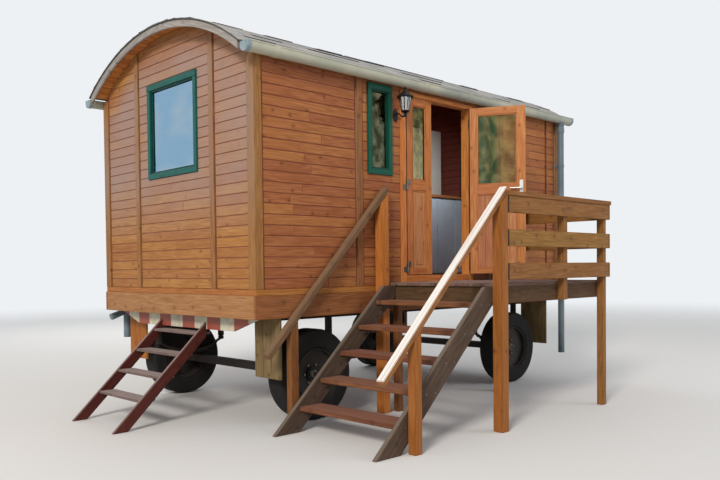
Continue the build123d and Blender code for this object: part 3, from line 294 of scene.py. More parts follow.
# The fascia's dark brown is partly painted shade, for the shade under the deck boards' edge
shade_darkened_fascia_pine = timber("dark_deck_fascia", "#624A33", "#503A27", "#37281A", tone_spread=0.1, rough=0.68)
deck_pine = timber("weathered_deck_boards", "#84695D", "#6E554A", "#4C3932", tone_spread=0.16, rough=0.7,
                   wear_and_highlight="#9A8886", wear_and_highlight_share=0.6)
grey_timber = timber("weathered_grey_timber", "#625042", "#4F3F33", "#352921", knot="#2C221B",
                     tone_spread=0.14, rough=0.75, wear_and_highlight="#867A6E", wear_and_highlight_share=0.6)
step_wood = timber("grey_mauve_step_boards", "#85716C", "#6F5C58", "#4B3D3B", knot="#3A2D2A",
                   tone_spread=0.12, rough=0.75, wear_and_highlight="#B9AAA6", wear_and_highlight_share=0.6)
# Painted shade: the inner handrail is a darker brown, partly as its shade
shade_darkened_rail_wood = timber("brown_handrail_timber", "#7E6148", "#6A4E38", "#483424", knot="#3A2D24",
                       tone_spread=0.08, rough=0.7, wear_and_highlight="#8C735C", wear_and_highlight_share=0.5)
# Painted highlight: the outer handrail's near-white top stands for sun on it
sunlit_top_rail_wood = timber("sunlit_top_handrail_timber", "#A06C40", "#885733", "#603C24", knot="#3A2D24",
                        tone_spread=0.06, rough=0.7, wear_and_highlight="#EEEAE5", wear_and_highlight_share=1.4)
tread_wood = timber("red_brown_treads", "#84553C", "#6D432E", "#492C1F", tone_spread=0.14, rough=0.68,
                    wear_and_highlight="#9C7060", wear_and_highlight_share=0.6)
print("door, deck and stair timber made")

# %% [markdown]
# Painted timber still shows its grain faintly through the paint. The paint is a satin skin, smoother
# than stain: a deep green on the windows, bluer on the end that faces the open, and maroon on the
# portable steps, worn to bare grey wood on top.

# %% Painted timber
green_wood = timber("green_painted_wood", "#145A48", "#0F4E3C", "#0B3B2E", knot="#0C3E32",
                    tone_spread=0.06, rough=0.38)
sky_green_wood = timber("blue_green_painted_wood", "#176058", "#12534D", "#0D403B", knot="#0F443E",
                        tone_spread=0.06, rough=0.38)
dark_green_wood = timber("dark_green_painted_wood", "#0F4034", "#0C372D", "#092A22", knot="#082820",
                         tone_spread=0.05, rough=0.35)
maroon_wood = timber("maroon_painted_wood", "#5A2622", "#4A1D1B", "#301312", knot="#34110F",
                     tone_spread=0.12, rough=0.5, wear_and_highlight="#A89690", wear_and_highlight_share=0.7)
print("painted timber made")

# %% [markdown]
# ## Lining boards
# Inside, the wagon is lined with red-brown matchboards 96 mm wide. The CAD walls stay as they are, and
# their finish draws the boards' joints as dark lines 5 mm high from the height alone. The same finish
# shows as the dark gap between the boards outside.

# %% Lining finish
board_pitch = 0.096
joint_height = 0.005


def lining():
    material, tree, shader = start_material("red_brown_lining")
    place = add(tree, "ShaderNodeTexCoord").outputs["Object"]
    height = add(tree, "ShaderNodeSeparateXYZ", {0: place}).outputs["Z"]
    course = add(tree, "ShaderNodeMath", {0: height, 1: board_pitch}, operation="MODULO")
    joint = add(tree, "ShaderNodeMath", {0: course.outputs[0], 1: joint_height}, operation="LESS_THAN")
    long_grain = add(tree, "ShaderNodeMapping", {"Vector": place, "Scale": (3.0, 3.0, 150.0)})
    fibres = add(tree, "ShaderNodeTexNoise", {"Vector": long_grain.outputs[0], "Scale": 1.0, "Detail": 3.0})
    wood = add(tree, "ShaderNodeMix", {"Factor": fibres.outputs["Fac"], "A": colour("#A65F52"),
                                       "B": colour("#7E4238")}, data_type="RGBA")
    lined = add(tree, "ShaderNodeMix", {"Factor": joint.outputs[0], "A": wood.outputs["Result"],
                                        "B": colour("#160A06")}, data_type="RGBA")
    bump = add(tree, "ShaderNodeBump", {"Height": joint.outputs[0], "Strength": 0.8, "Distance": 0.002},
               invert=True)
    tree.links.new(lined.outputs["Result"], shader.inputs["Base Color"])
    tree.links.new(bump.outputs[0], shader.inputs["Normal"])
    shader.inputs["Roughness"].default_value = 0.55
    shader.inputs["IOR"].default_value = 1.45
    return material


lining_boards = lining()

# %% [markdown]
# ## Mineral shingles
# Roof felt shingles are bitumen pressed full of grey slate grit of 1 to 2 mm. That reads as a matte,
# speckled skin with no shine. The grit is drawn 3 mm wide so that it shows. Where a tab has lifted, its
# black bitumen cut edge shows as a dash, and the dash also stands in as painted shadow under the lifted
# tab, so a face that doesn't look outward from the roof's axis is painted dark.

# %% Shingle finish
def shingle_felt(name, dark_grit, light_grit, least, most, black_edges_and_shadow=False):
    material, tree, shader = start_material(name)
    place = add(tree, "ShaderNodeTexCoord").outputs["Object"]
    tone = add(tree, "ShaderNodeAttribute", attribute_name="tone").outputs["Fac"]
    grit = add(tree, "ShaderNodeTexNoise", {"Vector": place, "Scale": 330.0, "Detail": 2.0})
    soiling = add(tree, "ShaderNodeTexNoise", {"Vector": place, "Scale": 3.0, "Detail": 5.0})
    speckle = add(tree, "ShaderNodeMix", {"Factor": grit.outputs["Fac"], "A": colour(dark_grit),
                                          "B": colour(light_grit)}, data_type="RGBA")
    share = add(tree, "ShaderNodeMapRange", {"Value": soiling.outputs["Fac"], "From Min": 0.45,
                                             "From Max": 0.75, "To Max": 0.5})
    soiled = add(tree, "ShaderNodeMix", {"Factor": share.outputs[0], "A": speckle.outputs["Result"],
                                         "B": colour("#6E6F69")}, data_type="RGBA")
    value = add(tree, "ShaderNodeMapRange", {"Value": tone, "To Min": least, "To Max": most})
    toned = add(tree, "ShaderNodeHueSaturation", {"Color": soiled.outputs["Result"],
                                                  "Value": value.outputs[0]})
    bump = add(tree, "ShaderNodeBump", {"Height": grit.outputs["Fac"], "Strength": 0.5, "Distance": 0.0015})
    result = toned.outputs["Color"]
    if black_edges_and_shadow:
        from_axis = add(tree, "ShaderNodeVectorMath", {0: place, 1: (0.0, middle_y, roof_centre_z)},
                        operation="SUBTRACT")
        spoke = add(tree, "ShaderNodeVectorMath", {0: from_axis.outputs[0], 1: (0.0, 1.0, 1.0)},
                    operation="MULTIPLY")
        unit_spoke = add(tree, "ShaderNodeVectorMath", {0: spoke.outputs[0]}, operation="NORMALIZE")
        outward = add(tree, "ShaderNodeVectorMath", {0: unit_spoke.outputs[0],
                                                     1: add(tree, "ShaderNodeTexCoord").outputs["Normal"]},
                      operation="DOT_PRODUCT")
        # Painted shadow: besides the black bitumen edge, this dark stands for the shadow under a lifted tab
        cut_edge_and_shadow = add(tree, "ShaderNodeMath", {0: outward.outputs["Value"], 1: 0.7}, operation="LESS_THAN")
        result = add(tree, "ShaderNodeMix", {"Factor": cut_edge_and_shadow.outputs[0], "A": result,
                                             "B": colour("#1E1D1D")}, data_type="RGBA").outputs["Result"]
    tree.links.new(result, shader.inputs["Base Color"])
    tree.links.new(bump.outputs[0], shader.inputs["Normal"])
    shader.inputs["Roughness"].default_value = 0.92
    return material


shingles_grey = shingle_felt("grey_bitumen_shingles", "#908E8C", "#C2BFBC", 0.86, 1.08)
lifted_shingles = shingle_felt("lifted_bitumen_shingles", "#908E8C", "#C2BFBC", 0.86, 1.08,
                               black_edges_and_shadow=True)
under_felt = shingle_felt("dark_under_felt", "#3A3B3A", "#54544F", 1.0, 1.0)

# %% [markdown]
# ## Metals and paints
# Old gutters have a chalky cream skin over the sheet, cloudy in patches some 100 mm across, and painted
# steel has a skin of paint. Both skins are dielectrics, so their metallic value is zero, and chalking
# halves their shine. Only the bare steel of hinges, nails and the handle is a true metal here.

# %% Clouded metal and paint
def clouded(name, base, cloud, metallic, rough, cloud_scale=9.0, speck_scale=160.0, bump_depth=0.0004):
    material, tree, shader = start_material(name)
    place = add(tree, "ShaderNodeTexCoord").outputs["Object"]
    clouds = add(tree, "ShaderNodeTexNoise", {"Vector": place, "Scale": cloud_scale, "Detail": 5.0})
    specks = add(tree, "ShaderNodeTexNoise", {"Vector": place, "Scale": speck_scale, "Detail": 2.0})
    share = add(tree, "ShaderNodeMapRange", {"Value": clouds.outputs["Fac"], "From Min": 0.35,
                                             "From Max": 0.7})
    mixed = add(tree, "ShaderNodeMix", {"Factor": share.outputs[0], "A": colour(base), "B": colour(cloud)},
                data_type="RGBA")
    roughness = add(tree, "ShaderNodeMapRange", {"Value": clouds.outputs["Fac"], "From Min": 0.3,
                                                 "From Max": 0.7, "To Min": rough - 0.08,
                                                 "To Max": rough + 0.1})
    bump = add(tree, "ShaderNodeBump", {"Height": specks.outputs["Fac"], "Strength": 0.3,
                                        "Distance": bump_depth})
    tree.links.new(mixed.outputs["Result"], shader.inputs["Base Color"])
    tree.links.new(roughness.outputs[0], shader.inputs["Roughness"])
    tree.links.new(bump.outputs[0], shader.inputs["Normal"])
    shader.inputs["Metallic"].default_value = metallic
    if metallic == 0.0:
        shader.inputs["Specular IOR Level"].default_value = 0.25
    return material


zinc = clouded("weathered_gutter_sheet", "#B9B7A2", "#8F948C", 0.0, 0.38, cloud_scale=1.6)
end_cap_grey = clouded("gutter_end_cap", "#8C9CA4", "#76868E", 0.0, 0.4, cloud_scale=20.0)
pipe_zinc = clouded("grey_blue_downpipe", "#6C7B84", "#5A6870", 0.0, 0.4, cloud_scale=4.0)
steel = clouded("dull_steel", "#7E7B74", "#65625B", 1.0, 0.45, cloud_scale=40.0)
handle_steel = clouded("brushed_handle_steel", "#B9BABA", "#9FA0A0", 1.0, 0.3, cloud_scale=60.0)
black_paint = clouded("black_iron", "#0C0D0E", "#141516", 0.0, 0.5, cloud_scale=30.0)
brown_cable = clouded("brown_cable_sheath", "#5E3B27", "#4C2F1F", 0.0, 0.5, cloud_scale=20.0)
chassis_paint = clouded("dark_chassis_paint", "#25211E", "#3A302A", 0.0, 0.6, cloud_scale=6.0)
rim_paint = clouded("dark_rim_paint", "#2A2725", "#3C3530", 0.0, 0.5, cloud_scale=12.0)
# The tyres' near-black is partly painted shade: darker than rubber's own colour, for the deep shade under
# the wagon
rubber = clouded("tyre_rubber", "#171717", "#242220", 0.0, 0.78, cloud_scale=14.0, bump_depth=0.001)
cabinet_paint = clouded("grey_blue_cabinet_paint", "#8C949C", "#818B96", 0.0, 0.45, cloud_scale=5.0)
cupboard_paint = clouded("pale_cupboard_paint", "#C4C3BB", "#B8B7AE", 0.0, 0.45, cloud_scale=5.0)
print("metals and paints made")

# %% [markdown]
# ## Striped paint
# The bar under the window end is a road-safety bar with upright red and white stripes, each 228 mm wide.
# A remainder of the place across the wagon, divided by two stripes, says which stripe a point is on.

# %% Striped finish
stripe_width = 0.228
stripe_shift = 20 * stripe_width - (door_face_y + 0.271)


def striped_paint():
    material, tree, shader = start_material("striped_bar_paint")
    place = add(tree, "ShaderNodeTexCoord").outputs["Object"]
    across = add(tree, "ShaderNodeSeparateXYZ", {0: place}).outputs["Y"]
    shifted = add(tree, "ShaderNodeMath", {0: across, 1: stripe_shift}, operation="ADD")
    pair = add(tree, "ShaderNodeMath", {0: shifted.outputs[0], 1: 2 * stripe_width}, operation="MODULO")
    red_share = add(tree, "ShaderNodeMath", {0: pair.outputs[0], 1: stripe_width}, operation="LESS_THAN")
    dirt = add(tree, "ShaderNodeTexNoise", {"Vector": place, "Scale": 14.0, "Detail": 5.0})
    painted = add(tree, "ShaderNodeMix", {"Factor": red_share.outputs[0], "A": colour("#C4BFA8"),
                                          "B": colour("#96422E")}, data_type="RGBA")
    share = add(tree, "ShaderNodeMapRange", {"Value": dirt.outputs["Fac"], "From Min": 0.45,
                                             "From Max": 0.75, "To Max": 0.5})
    dirty = add(tree, "ShaderNodeMix", {"Factor": share.outputs[0], "A": painted.outputs["Result"],
                                        "B": colour("#7A5C46")}, data_type="RGBA")
    tree.links.new(dirty.outputs["Result"], shader.inputs["Base Color"])
    shader.inputs["Roughness"].default_value = 0.5
    return material


striped = striped_paint()

# %% [markdown]
# ## Glass
# Window glass is clear, but by day it mostly shows what stands in front of it. Float glass has IOR 1.52,
# and a double pane throws back far more light than a single one, so part of a mirror is mixed into the
# glass. The mirror's colour is a painted reflection that drifts between two tints: pale sky blues at the
# end windows, and deep and yellowish greens of trees at the narrow ones and the door; the tint of the
# shine is painted the same way. The wide leaf has a single clear pane: through it the sun reaches the
# wall behind, so it is partly see-through in the plain sense too.

# %% Glass finish
def pane_glass(name, tint, mirror_share, painted_reflection_one, painted_reflection_two, mottle=(3.0, 3.0, 3.0), shine="#FFFFFF",
               solid=1.0):
    material, tree, shader = start_material(name)
    shader.inputs["Base Color"].default_value = colour(tint)
    shader.inputs["Roughness"].default_value = 0.02
    shader.inputs["IOR"].default_value = 1.52
    shader.inputs["Transmission Weight"].default_value = 1.0
    # Below 1, part of the sun goes straight through to what is behind the pane
    shader.inputs["Alpha"].default_value = solid
    # The shine's tint is a painted reflection too
    shader.inputs["Specular Tint"].default_value = colour(shine)
    place = add(tree, "ShaderNodeTexCoord").outputs["Object"]
    stretched = add(tree, "ShaderNodeMapping", {"Vector": place, "Scale": mottle})
    drift = add(tree, "ShaderNodeTexNoise", {"Vector": stretched.outputs[0], "Scale": 1.0, "Detail": 5.0})
    drift_share = add(tree, "ShaderNodeMapRange", {"Value": drift.outputs["Fac"], "From Min": 0.4,
                                                   "From Max": 0.62})
    # The mirror's two tints are painted reflections
    painted_reflection = add(tree, "ShaderNodeMix", {"Factor": drift_share.outputs[0], "A": colour(painted_reflection_one),
                                           "B": colour(painted_reflection_two)}, data_type="RGBA")
    waves = add(tree, "ShaderNodeTexNoise", {"Vector": place, "Scale": 3.0, "Detail": 1.0})
    bump = add(tree, "ShaderNodeBump", {"Height": waves.outputs["Fac"], "Strength": 0.05, "Distance": 0.01})
    mirror = add(tree, "ShaderNodeBsdfGlossy", {"Color": painted_reflection.outputs["Result"],
                                                "Roughness": 0.03,
                                                "Normal": bump.outputs[0]})
    both = add(tree, "ShaderNodeMixShader", {0: mirror_share, 1: shader.outputs[0], 2: mirror.outputs[0]})
    tree.links.new(both.outputs[0], tree.nodes["Material Output"].inputs["Surface"])
    return material


end_glass = pane_glass("end_window_glass", "#C4D8E4", 0.6, "#9FCBE8", "#BBD6E8", (1.6, 1.6, 2.4))
narrow_glass = pane_glass("narrow_window_glass", "#8E9A80", 0.3, "#2C3A20", "#A9A884", (14.0, 14.0, 9.0),
                          "#6C7448")
door_glass = pane_glass("door_glass", "#E0D8B8", 0.3, "#3E4A24", "#A89E5C", (16.0, 16.0, 11.0), "#7C8452")
wide_glass = pane_glass("wide_leaf_glass", "#F4EEDC", 0.2, "#4C5C30", "#B9AC6C", (11.0, 11.0, 7.0),
                        "#9CA474", solid=0.3)
lantern_pane = pane_glass("lantern_glass", "#F0EEE6", 0.6, "#C9CCC8", "#E6E7E2")
print("glass made")


# %% [markdown]
# ## From shapes to pieces
# Every timber piece needs the grain and tone attributes. For each separate board in a mesh this finds
# the board's longest direction from the spread of its points, and stores each point's place along,
# across and through it, moved by a random distance so that no two boards show the same figure.

# %% Store the grain
seeded = random.Random(7)


def board_axes(points):
    # Directions of a board's greatest and least spread, by repeated multiplication of its covariance
    middle = sum(points, Vector()) / len(points)
    spread = Matrix(((0.0,) * 3,) * 3)
    for point in points:
        d = point - middle
        for i in range(3):
            for j in range(3):
                spread[i][j] += d[i] * d[j]
    along = Vector((1.0, 0.93, 0.87)).normalized()
    for _ in range(40):
        along = (spread @ along).normalized()
    across = along.orthogonal().normalized()
    for _ in range(40):
        across = spread @ across
        across = (across - along * across.dot(along)).normalized()
    return middle, along, across, along.cross(across)


def store_grain(mesh):
    links = {}
    for edge in mesh.edges:
        a, b = edge.vertices
        links.setdefault(a, []).append(b)
        links.setdefault(b, []).append(a)
    mesh.attributes.new("grain", "FLOAT_VECTOR", "POINT")
    mesh.attributes.new("tone", "FLOAT", "POINT")
    grain, tone = mesh.attributes["grain"], mesh.attributes["tone"]
    seen = set()
    boards = 0
    for start in range(len(mesh.vertices)):
        if start in seen:
            continue
        seen.add(start)
        group = [start]
        for index in group:
            for other in links.get(index, ()):
                if other not in seen:
                    seen.add(other)
                    group.append(other)
        middle, along, across, through = board_axes([mesh.vertices[i].co for i in group])
        shift = Vector([seeded.uniform(0, 30) for _ in range(3)])
        board_tone = seeded.random()
        for i in group:
            d = mesh.vertices[i].co - middle
            grain.data[i].vector = Vector((d.dot(along), d.dot(across), d.dot(through))) + shift
            tone.data[i].value = board_tone
        boards += 1
    return boards


# %% [markdown]
# A sharp CAD edge looks false, because a plane or sandpaper rounds every real board by a few
# millimetres. So shapes are gathered in a bmesh, their sharp edges are bevelled, and the result becomes
# an object that rides on a CAD body, takes its finish and hides the CAD nodes it stands for.

# %% Finish a piece
def make_piece(name, shape, material, body="wagon", bevel=0.002, segments=2, replaces=(),
               smooth=False):
    bmesh.ops.recalc_face_normals(shape, faces=shape.faces)
    if bevel:
        sharp = [e for e in shape.edges if len(e.link_faces) == 2 and e.calc_face_angle() > 0.6]
        bmesh.ops.bevel(shape, geom=sharp, offset=bevel, segments=segments, affect="EDGES",
                        clamp_overlap=True)
    mesh = bpy.data.meshes.new(name)
    shape.to_mesh(mesh)
    shape.free()
    boards = store_grain(mesh)
    mesh.materials.append(material)
    if smooth:
        mesh.shade_smooth()
        mesh.set_sharp_from_angle(angle=math.radians(40))
    piece = bpy.data.objects.new(name, mesh)
    bpy.context.scene.collection.objects.link(piece)
    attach(piece, body)
    if replaces:
        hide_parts(*replaces)
    print(name, boards, "solids,", len(mesh.polygons), "faces")
    return piece


# %% [markdown]
# Three shapes cover most pieces: a plain box between two corners, an outline pushed out from a plane,
# and a round bar, which is two rings of points joined by faces. A box takes an optional matrix, so that
# parts of the open door can be drawn square to their own hinge and turned afterwards.

# %% Boxes, outlines and bars
def box(shape, low, high, turn=None):
    corners = [Vector((x, y, z)) for x in (low[0], high[0]) for y in (low[1], high[1])
               for z in (low[2], high[2])]
    points = [shape.verts.new(turn @ c if turn else c) for c in corners]
    for face in ((0, 1, 3, 2), (4, 6, 7, 5), (0, 4, 5, 1), (2, 3, 7, 6), (0, 2, 6, 4), (1, 5, 7, 3)):
        shape.faces.new([points[i] for i in face])


def push_out(shape, outline, depth):
    # Outline is a list of points in one plane, and depth the vector that it is pushed by
    front = [shape.verts.new(p) for p in outline]
    back = [shape.verts.new(p + depth) for p in outline]
    shape.faces.new(front)
    shape.faces.new(list(reversed(back)))
    for i in range(len(front)):
        j = (i + 1) % len(front)
        shape.faces.new((front[j], front[i], back[i], back[j]))


def ring(shape, centre, one, two, radius, sides):
    turns = [2 * math.pi * k / sides for k in range(sides)]
    return [shape.verts.new(centre + (one * math.cos(a) + two * math.sin(a)) * radius) for a in turns]


def join_rings(shape, rings):
    sides = len(rings[0])
    for lower, upper in zip(rings, rings[1:]):
        for k in range(sides):
            j = (k + 1) % sides
            shape.faces.new((lower[k], lower[j], upper[j], upper[k]))
    shape.faces.new(list(reversed(rings[0])))
    shape.faces.new(rings[-1])


def bar(shape, start, end, radius, end_radius=None, sides=16):
    # A round bar, or a tapered one when end_radius is given
    axis = (end - start).normalized()
    one = axis.orthogonal().normalized()
    ends = ((start, radius), (end, end_radius or radius))
    join_rings(shape, [ring(shape, centre, one, axis.cross(one), r, sides) for centre, r in ends])


# %% [markdown]
# ## Softened CAD timber
# Posts, rails, treads and skirt boards already have their true shape in the CAD model, and lack only
# their rounded edges and grain. A copy of the node's mesh is welded, its flat faces are merged, and it
# then goes the way of every other piece and replaces its node. Timbers of one node don't all look alike:
# those in the shade of the deck, the skirt boards on the long sides and the inner handrail are painted
# darker as shade, and the outer handrail's top is a painted highlight of sun, near white. So a copy can
# keep only the timbers whose box passes a test.

# %% Copy CAD nodes as timber
def copy_node(name):
    shape = bmesh.new()
    shape.from_mesh(frame["nodes"][name].data)
    bmesh.ops.remove_doubles(shape, verts=shape.verts, dist=0.00002)
    bmesh.ops.dissolve_limit(shape, angle_limit=math.radians(1.0), verts=shape.verts, edges=shape.edges)
    return shape


def separate_solids(shape):
    # Points that edges join are one solid. Gives each solid's points with its lowest and highest corner
    todo = set(shape.verts)
    solids = []
    for start in list(shape.verts):
        if start not in todo:
            continue
        todo.discard(start)
        group = [start]
        for vert in group:
            for edge in vert.link_edges:
                other = edge.other_vert(vert)
                if other in todo:
                    todo.discard(other)
                    group.append(other)
        low = Vector([min(v.co[i] for v in group) for i in range(3)])
        high = Vector([max(v.co[i] for v in group) for i in range(3)])
        solids.append((group, low, high))
    return solids


def solid_boxes(name):
    shape = copy_node(name)
    boxes = [(low, high) for _, low, high in separate_solids(shape)]
    shape.free()
    return boxes


def copy_some(name, wanted):
    shape = copy_node(name)
    unwanted = [v for group, low, high in separate_solids(shape) if not wanted(low, high) for v in group]
    bmesh.ops.delete(shape, geom=unwanted, context="VERTS")
    return shape


for node, finish, slot, edge in (
    ("wall_trims", trim_pine, "light_pine_trim", 0.003),
    ("sill_strip", sill_pine, "light_pine_trim", 0.003),
    ("door_frame", frame_pine, "stained_door_pine", 0.003),
    ("deck_frame", shade_darkened_fascia_pine, "orange_stained_timber", 0.003),
    ("deck_boards", deck_pine, "weathered_deck_boards", 0.003),
    ("stair_stringers", grey_timber, "weathered_grey_timber", 0.003),
    ("stair_treads", tread_wood, "red_brown_treads", 0.005),
    ("railing_cap", rail_pine, "olive_tan_boards", 0.004),
    ("portable_step_sides", maroon_wood, "maroon_painted_wood", 0.004),
    ("portable_step_treads", step_wood, "weathered_grey_timber", 0.004),
    ("floor_frame", roof_pine, "dark_framing_timber", 0.003),
):
    make_piece(node + "_timber", copy_node(node), finish, "wagon", edge, replaces=(node,))

# %% Copy the timbers that differ within one node
by_wall_y = door_face_y - 0.3
deck_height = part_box("deck_boards")[1].z
for piece, node, finish, slot, edge, wanted in (
    ("end_skirt_boards", "skirt_boards", skirt_pine, "skirt_pine", 0.004,
     lambda low, high: high.x - low.x < 0.1),
    ("side_skirt_boards", "skirt_boards", shade_darkened_skirt_pine, "skirt_pine", 0.004,
     lambda low, high: high.x - low.x > 0.1),
    ("outer_stair_posts", "stair_posts", post_pine, "orange_stained_timber", 0.004,
     lambda low, high: high.y < by_wall_y),
    ("inner_top_stair_post", "stair_posts", new_post_pine, "orange_stained_timber", 0.004,
     lambda low, high: high.y > by_wall_y and high.z > deck_height),
    ("inner_low_stair_post", "stair_posts", shade_darkened_post_pine, "orange_stained_timber", 0.004,
     lambda low, high: high.y > by_wall_y and high.z < deck_height),
    ("inner_handrail", "handrails", shade_darkened_rail_wood, "weathered_grey_timber", 0.005,
     lambda low, high: high.y > by_wall_y),
    ("outer_handrail", "handrails", sunlit_top_rail_wood, "weathered_grey_timber", 0.005,
     lambda low, high: high.y < by_wall_y),
    ("railing_posts", "deck_posts", rail_pine, "olive_tan_boards", 0.004,
     lambda low, high: high.z > deck_height),
    ("under_deck_posts", "deck_posts", shade_darkened_post_pine, "orange_stained_timber", 0.004,
     lambda low, high: high.z <= deck_height),
):
    make_piece(piece, copy_some(node, wanted), finish, "wagon", edge, replaces=(node,))

# %% [markdown]
# The front railing boards stop 16 mm short of the stair post, and a black block in each board's end slot
# there is painted shade. The verge boards under each end of the roof are two sawn curves that butt near the
# crown.

# %% Railing boards and verge boards
railing = copy_node("railing_boards")
railing_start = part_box("railing_boards")[0].x
end_slot_length = 0.016
near = 0.001  # Two places closer than this are the same
# Painted shade: a black block fills each board's end slot to draw the dark slot
slot_shade_blocks = bmesh.new()
for low, high in solid_boxes("railing_boards"):
    if low.x < railing_start + near:
        box(slot_shade_blocks, (low.x + 0.0005, low.y + 0.0005, low.z + 0.004),
            (low.x + end_slot_length - 0.0005, high.y, high.z - 0.004))
make_piece("board_end_shade_blocks", slot_shade_blocks, black_paint, bevel=0.001, segments=1)
for vert in railing.verts:
    if vert.co.x < railing_start + near:
        vert.co.x += end_slot_length
make_piece("railing_boards_timber", railing, rail_pine, bevel=0.004,
           replaces=("railing_boards",))
verge_joint_y = middle_y - 0.085
verge_joint_half = 0.0025
for side, name in ((-1, "door_side_verge_boards"), (1, "back_side_verge_boards")):
    half = copy_node("verge_boards")
    cut_place = (0, verge_joint_y + side * verge_joint_half, 0)
    bmesh.ops.bisect_plane(half, geom=half.verts[:] + half.edges[:] + half.faces[:], plane_co=cut_place,
                           plane_no=(0, side, 0), clear_inner=True)
    bmesh.ops.holes_fill(half, edges=[e for e in half.edges if e.is_boundary])
    make_piece(name, half, verge_wood, bevel=0.003, replaces=("verge_boards",))

# %% [markdown]
# ## Finishes on the CAD nodes that stay
# A node whose shape is right only gets its material.

# %% Assign finishes
for node, finish in (
    ("door_wall_window_side", lining_boards), ("door_wall_far_side", lining_boards),
    ("door_wall_over_door", lining_boards), ("back_wall", lining_boards),
    ("window_end_wall", lining_boards), ("far_end_wall", lining_boards),
    ("roof_shingles", under_felt),
    ("left_leaf_glass", door_glass), ("right_leaf_glass", wide_glass),
    ("left_leaf_hinges", steel), ("right_leaf_hinges", steel), ("frame_hinges", steel),
    ("door_handle", handle_steel), ("gutters", zinc), ("downpipes", pipe_zinc),
    ("lantern_glass", lantern_pane),
    ("chassis_frame", chassis_paint), ("warning_bar", striped), ("axles", chassis_paint),
    ("leaf_springs", chassis_paint), ("tyres", rubber), ("wheel_rims", rim_paint),
    ("cupboard", cupboard_paint),
):
    node_object = frame["nodes"][node]
    node_object.data.materials.clear()
    node_object.data.materials.append(finish)
print("CAD nodes dressed")

# %% [markdown]
# ## Wall boards
# The walls are clad with horizontal boards at a pitch of 96 mm. Their rounded edges and the gap between
# them draw the dark lines that give the wagon its look, so they are real boards, 8 mm proud of the
# CAD wall. One function lays the courses of a stretch of wall: it works in a flat picture of the wall
# (distance along it, height), cuts boards at holes, and follows the curve of the roof on the end walls.
# One long board in three is made up of two lengths that butt, as on the real wall.

# %% Lay courses of boards
board_gap = 0.006
board_proud = 0.008
butt_gap = 0.003
shortest_board = 0.010
narrowest_board = 0.012


def lay_courses(shape, start, end, holes, top_at, place, outward):
    z = wall_foot_z + 0.002
    while z < max(top_at(start), top_at(end), top_at((start + end) / 2)) - narrowest_board:
        z_top = z + board_pitch - board_gap
        stretches = [(start, end, z, z_top)]
        for hole_start, hole_end, hole_low, hole_high in holes:
            if hole_high <= z or hole_low >= z_top:
                continue
            cut = []
            for a, b, low, high in stretches:
                if hole_end <= a or hole_start >= b:
                    cut.append((a, b, low, high))
                    continue
                cut.append((a, hole_start, low, high))
                cut.append((hole_end, b, low, high))
                cut.append((max(a, hole_start), min(b, hole_end), low, min(high, hole_low)))
                cut.append((max(a, hole_start), min(b, hole_end), max(low, hole_high), high))
            stretches = [s for s in cut if s[1] - s[0] > shortest_board and s[3] - s[2] > narrowest_board]
        pieces = []
        for a, b, low, high in stretches:
            if b - a > 0.9 and seeded.random() < 0.35:
                butt = a + (b - a) * seeded.uniform(0.25, 0.75)
                pieces += [(a, butt - butt_gap / 2, low, high), (butt + butt_gap / 2, b, low, high)]
            else:
                pieces.append((a, b, low, high))
        for a, b, low, high in pieces:
            # The upper edge in twelve steps, straight or cut to the roof's curve
            tops = []
            for k in range(13):
                u = a + (b - a) * k / 12
                tops.append((u, min(high, top_at(u) - 0.003)))
            tops = [t for t in tops if t[1] > low + 0.006]
            if len(tops) < 2:
                continue
            if all(abs(t[1] - high) < 1e-6 for t in tops):
                tops = [tops[0], tops[-1]]
            outline = [(tops[0][0], low), (tops[-1][0], low)] + list(reversed(tops))
            push_out(shape, [place(u, v) for u, v in outline], outward * board_proud)
        z += board_pitch


def under_roof(y):
    # Height of the roof boards' underside over a place across the wagon
    return roof_centre_z + math.sqrt(under_roof_radius ** 2 - (y - middle_y) ** 2)


# %% [markdown]
# The holes come from the boxes of the window frames and the door frame, one box for each window.

# %% Find the holes
narrow_windows = solid_boxes("narrow_window_frames")
end_windows = solid_boxes("end_window_frames")
trims = solid_boxes("wall_trims")
door_low, door_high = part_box("door_frame")
print(len(narrow_windows), "narrow windows,", len(end_windows), "end windows,", len(trims), "trims")

# %% Board the four walls
edge_gap = 0.012
side_cladding = bmesh.new()
for face_y, outward in ((door_face_y, Vector((0, -1, 0))), (back_face_y, Vector((0, 1, 0)))):
    on_face = [t for t in trims if t[0].y - near < face_y < t[1].y + near]
    covers = sorted((t[0].x, t[1].x) for t in on_face)
    holes = [(w[0].x, w[1].x, w[0].z, w[1].z) for w in narrow_windows if w[0].y < face_y < w[1].y]
    if outward.y < 0:
        holes.append((door_low.x, door_high.x, wall_foot_z, door_high.z))
    edge = covers[0][1]
    for cover in covers[1:]:
        lay_courses(side_cladding, edge + edge_gap, cover[0] - edge_gap, holes,
                    lambda u: under_roof(door_face_y) - 0.004,
                    lambda u, v: Vector((u, face_y, v)), outward)
        edge = cover[1]
end_cladding = bmesh.new()
for face_x, outward in ((window_end_x, Vector((-1, 0, 0))), (far_end_x, Vector((1, 0, 0)))):
    on_face = [t for t in trims if t[0].x - near <= face_x <= t[1].x + near]
    covers = sorted((t[0].y, t[1].y) for t in on_face)
    holes = [(w[0].y, w[1].y, w[0].z, w[1].z) for w in end_windows if w[0].x < face_x < w[1].x]
    edge = covers[0][1]
    for cover in covers[1:]:
        lay_courses(end_cladding, edge + edge_gap, cover[0] - edge_gap, holes, under_roof,
                    lambda u, v: Vector((face_x, u, v)), outward)
        edge = cover[1]
make_piece("side_cladding_boards", side_cladding, cladding_pine, bevel=0.0035,
           segments=1)
make_piece("end_cladding_boards", end_cladding, sunned_pine, bevel=0.0035,
           segments=1)

